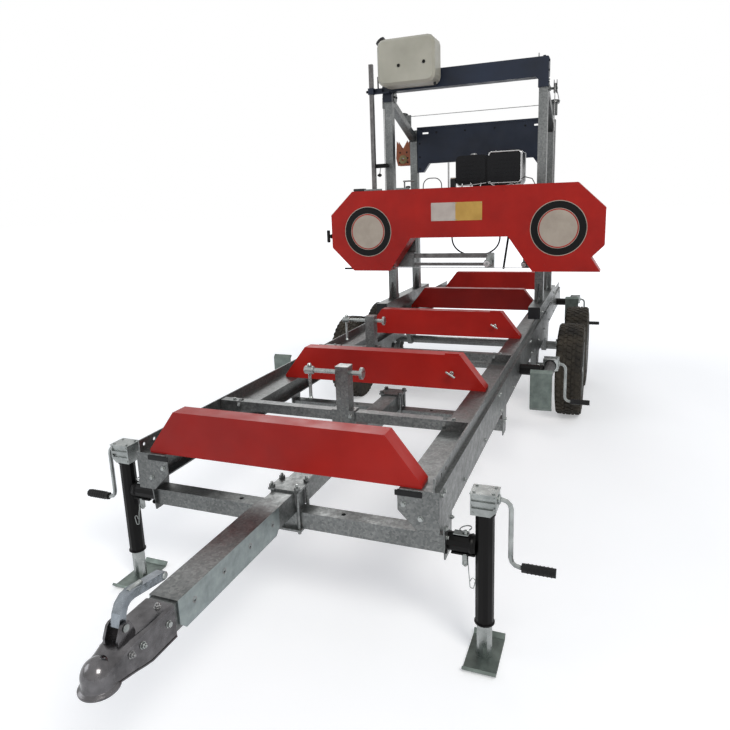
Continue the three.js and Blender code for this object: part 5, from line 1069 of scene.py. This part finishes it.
engine.tube(rounded(guard + [guard[0]], 20, 8)[1:] + [Vector((152, 2802, 1480))], 5, CHROME, 12)
side_guard = [(369.5, 2806, 1480), (369.5, 2806, 1668), (369.5, 2990, 1668), (369.5, 2990, 1480)]
engine.tube(rounded(side_guard, 18, 8), 4, CHROME, 12)
low_guard = [(168, 2800, 1462), (250, 2800, 1430), (300, 2800, 1462), (352, 2800, 1440)]
engine.tube(rounded(low_guard, 30, 8), 4.5, CHROME, 12)
engine.turned("x", (366, 2905, 1602), [(0, -10), (17, -10), (18, 0), (15, 3.6), (0, 4)], STEEL, 28)
engine.box((-120, -86), (2826, 2868), (1440, 1512), PLASTIC, chamfer=3)
# Pale strip on the switch box's top: a painted highlight
engine.box((-119, -87), (2828, 2866), (1512, 1520), DISC, chamfer=2)
engine.box((-120, -60), (2834, 2860), (1440, 1448), PLASTIC, chamfer=2)
for x, z in ((160, 1480), (358, 1480), (160, 1664), (358, 1664)):
    engine.rod((x, 2802, z), (x, 2812, z), 4, CHROME, 10)
engine.prism("y", corners((160, 358), (1478, 1664), 22), (2804.5, 2812), ENGINE)
for k in range(5):
    engine.box((182, 336), (2802.6, 2805), (1508 + 28 * k, 1512 + 28 * k), ENGINE, chamfer=1.0)
for x in (0, 90, 200, 290):
    engine.bolt((x, 2789, 1380), (0, -1, 0), 7)
engine.done("engine_black", 0.5)

left_arc = rounded([(-222, 2500, 1446), (-218, 2500, 1512), (-100, 2500, 1512), (-97, 2500, 1446)], 48, 12)
right_arc = rounded([(372, 2795, 1490), (400, 2720, 1500), (458, 2640, 1484), (492, 2500, 1446)], 60, 10)
hung_cord("cable_left", left_arc, 3, 12)
hung_cord("cable_right", right_arc, 3, 12)

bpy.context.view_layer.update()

# Floor, backdrop light and lamps
floor_mesh = bpy.data.meshes.new("floor")
reach = 60.0
square = [(-reach, -reach, 0), (reach, -reach, 0), (reach, reach, 0), (-reach, reach, 0)]
floor_mesh.from_pydata(square, [], [(0, 1, 2, 3)])
floor = bpy.data.objects.new("floor", floor_mesh)
floor.location = (0, 0, cad_low.z - 0.0005)
bpy.context.scene.collection.objects.link(floor)


def background_rays(tree):
    """1 for the rays that show the background: camera, glossy and transmission."""
    path = new_node(tree, "LightPath")
    value = path.outputs["Is Camera Ray"]
    for name in ("Is Glossy Ray", "Is Transmission Ray"):
        most = new_node(tree, "Math")
        most.operation = "MAXIMUM"
        tree.links.new(value, most.inputs[0])
        tree.links.new(path.outputs[name], most.inputs[1])
        value = most.outputs[0]
    return value


ground = Shader("floor_pale", roughness=0.9)
ground.colour(ground.ramp(ground.noise(0.8, 3.0), [(0.3, grey(0.80)), (0.7, grey(0.84))]))
ground.surface.inputs["Specular IOR Level"].default_value = 0.0
span = new_node(ground.tree, "VectorMath")
span.operation = "LENGTH"
ground.link(ground.place, span.inputs[0])
glow = new_node(ground.tree, "Math")
glow.operation = "MULTIPLY"
ground.link(ground.level(span.outputs["Value"], 0.34, 0.85, 2.5, 9.0), glow.inputs[0])
ground.link(background_rays(ground.tree), glow.inputs[1])
ground.surface.inputs["Emission Color"].default_value = (1, 1, 1, 1)
ground.link(glow.outputs[0], ground.surface.inputs["Emission Strength"])
floor_mesh.materials.append(ground.material)

world = bpy.data.worlds.new("studio")
world.use_nodes = True
bpy.context.scene.world = world
tree = world.node_tree
tree.nodes.clear()
output = new_node(tree, "OutputWorld")
coord = new_node(tree, "TexCoord")
height = new_node(tree, "SeparateXYZ")
tree.links.new(coord.outputs["Generated"], height.inputs["Vector"])
sky = new_node(tree, "ValToRGB")
heights = [(0.0, (0.4, 0.4, 0.4)), (0.06, (0.5, 0.52, 0.54)), (0.35, (0.62, 0.67, 0.76)), (1.0, (0.88, 0.93, 1.0))]
set_stops(sky, heights)
tree.links.new(height.outputs["Z"], sky.inputs["Fac"])
ambient = new_node(tree, "Background", {"Strength": 0.6})
tree.links.new(sky.outputs["Color"], ambient.inputs["Color"])
seen = new_node(tree, "Background", {"Color": (1, 1, 1, 1), "Strength": 1.0})
blend = new_node(tree, "MixShader")
tree.links.new(background_rays(tree), blend.inputs["Fac"])
tree.links.new(ambient.outputs["Background"], blend.inputs[1])
tree.links.new(seen.outputs["Background"], blend.inputs[2])
tree.links.new(blend.outputs["Shader"], output.inputs["Surface"])


def softbox(name, place, aim, size, power, colour=(1, 1, 1)):
    data = bpy.data.lights.new(name, "AREA")
    data.shape = "RECTANGLE"
    data.size, data.size_y = size
    data.energy = power
    data.color = colour
    lamp = bpy.data.objects.new(name, data)
    lamp.location = place
    lamp.rotation_mode = "QUATERNION"
    lamp.rotation_quaternion = (Vector(aim) - Vector(place)).to_track_quat("-Z", "Y")
    bpy.context.scene.collection.objects.link(lamp)


softbox("key", (4.5, -5.5, 6.5), (0.0, 0.0, 0.8), (3.0, 3.0), 330, (1.0, 0.97, 0.93))
softbox("fill", (-6.0, -4.0, 3.5), (0.0, -0.5, 0.8), (4.0, 3.0), 90, (0.94, 0.97, 1.0))
softbox("back", (-3.0, 6.5, 5.5), (0.0, 0.5, 1.2), (4.0, 3.0), 150)
bpy.context.scene.view_settings.view_transform = "Standard"
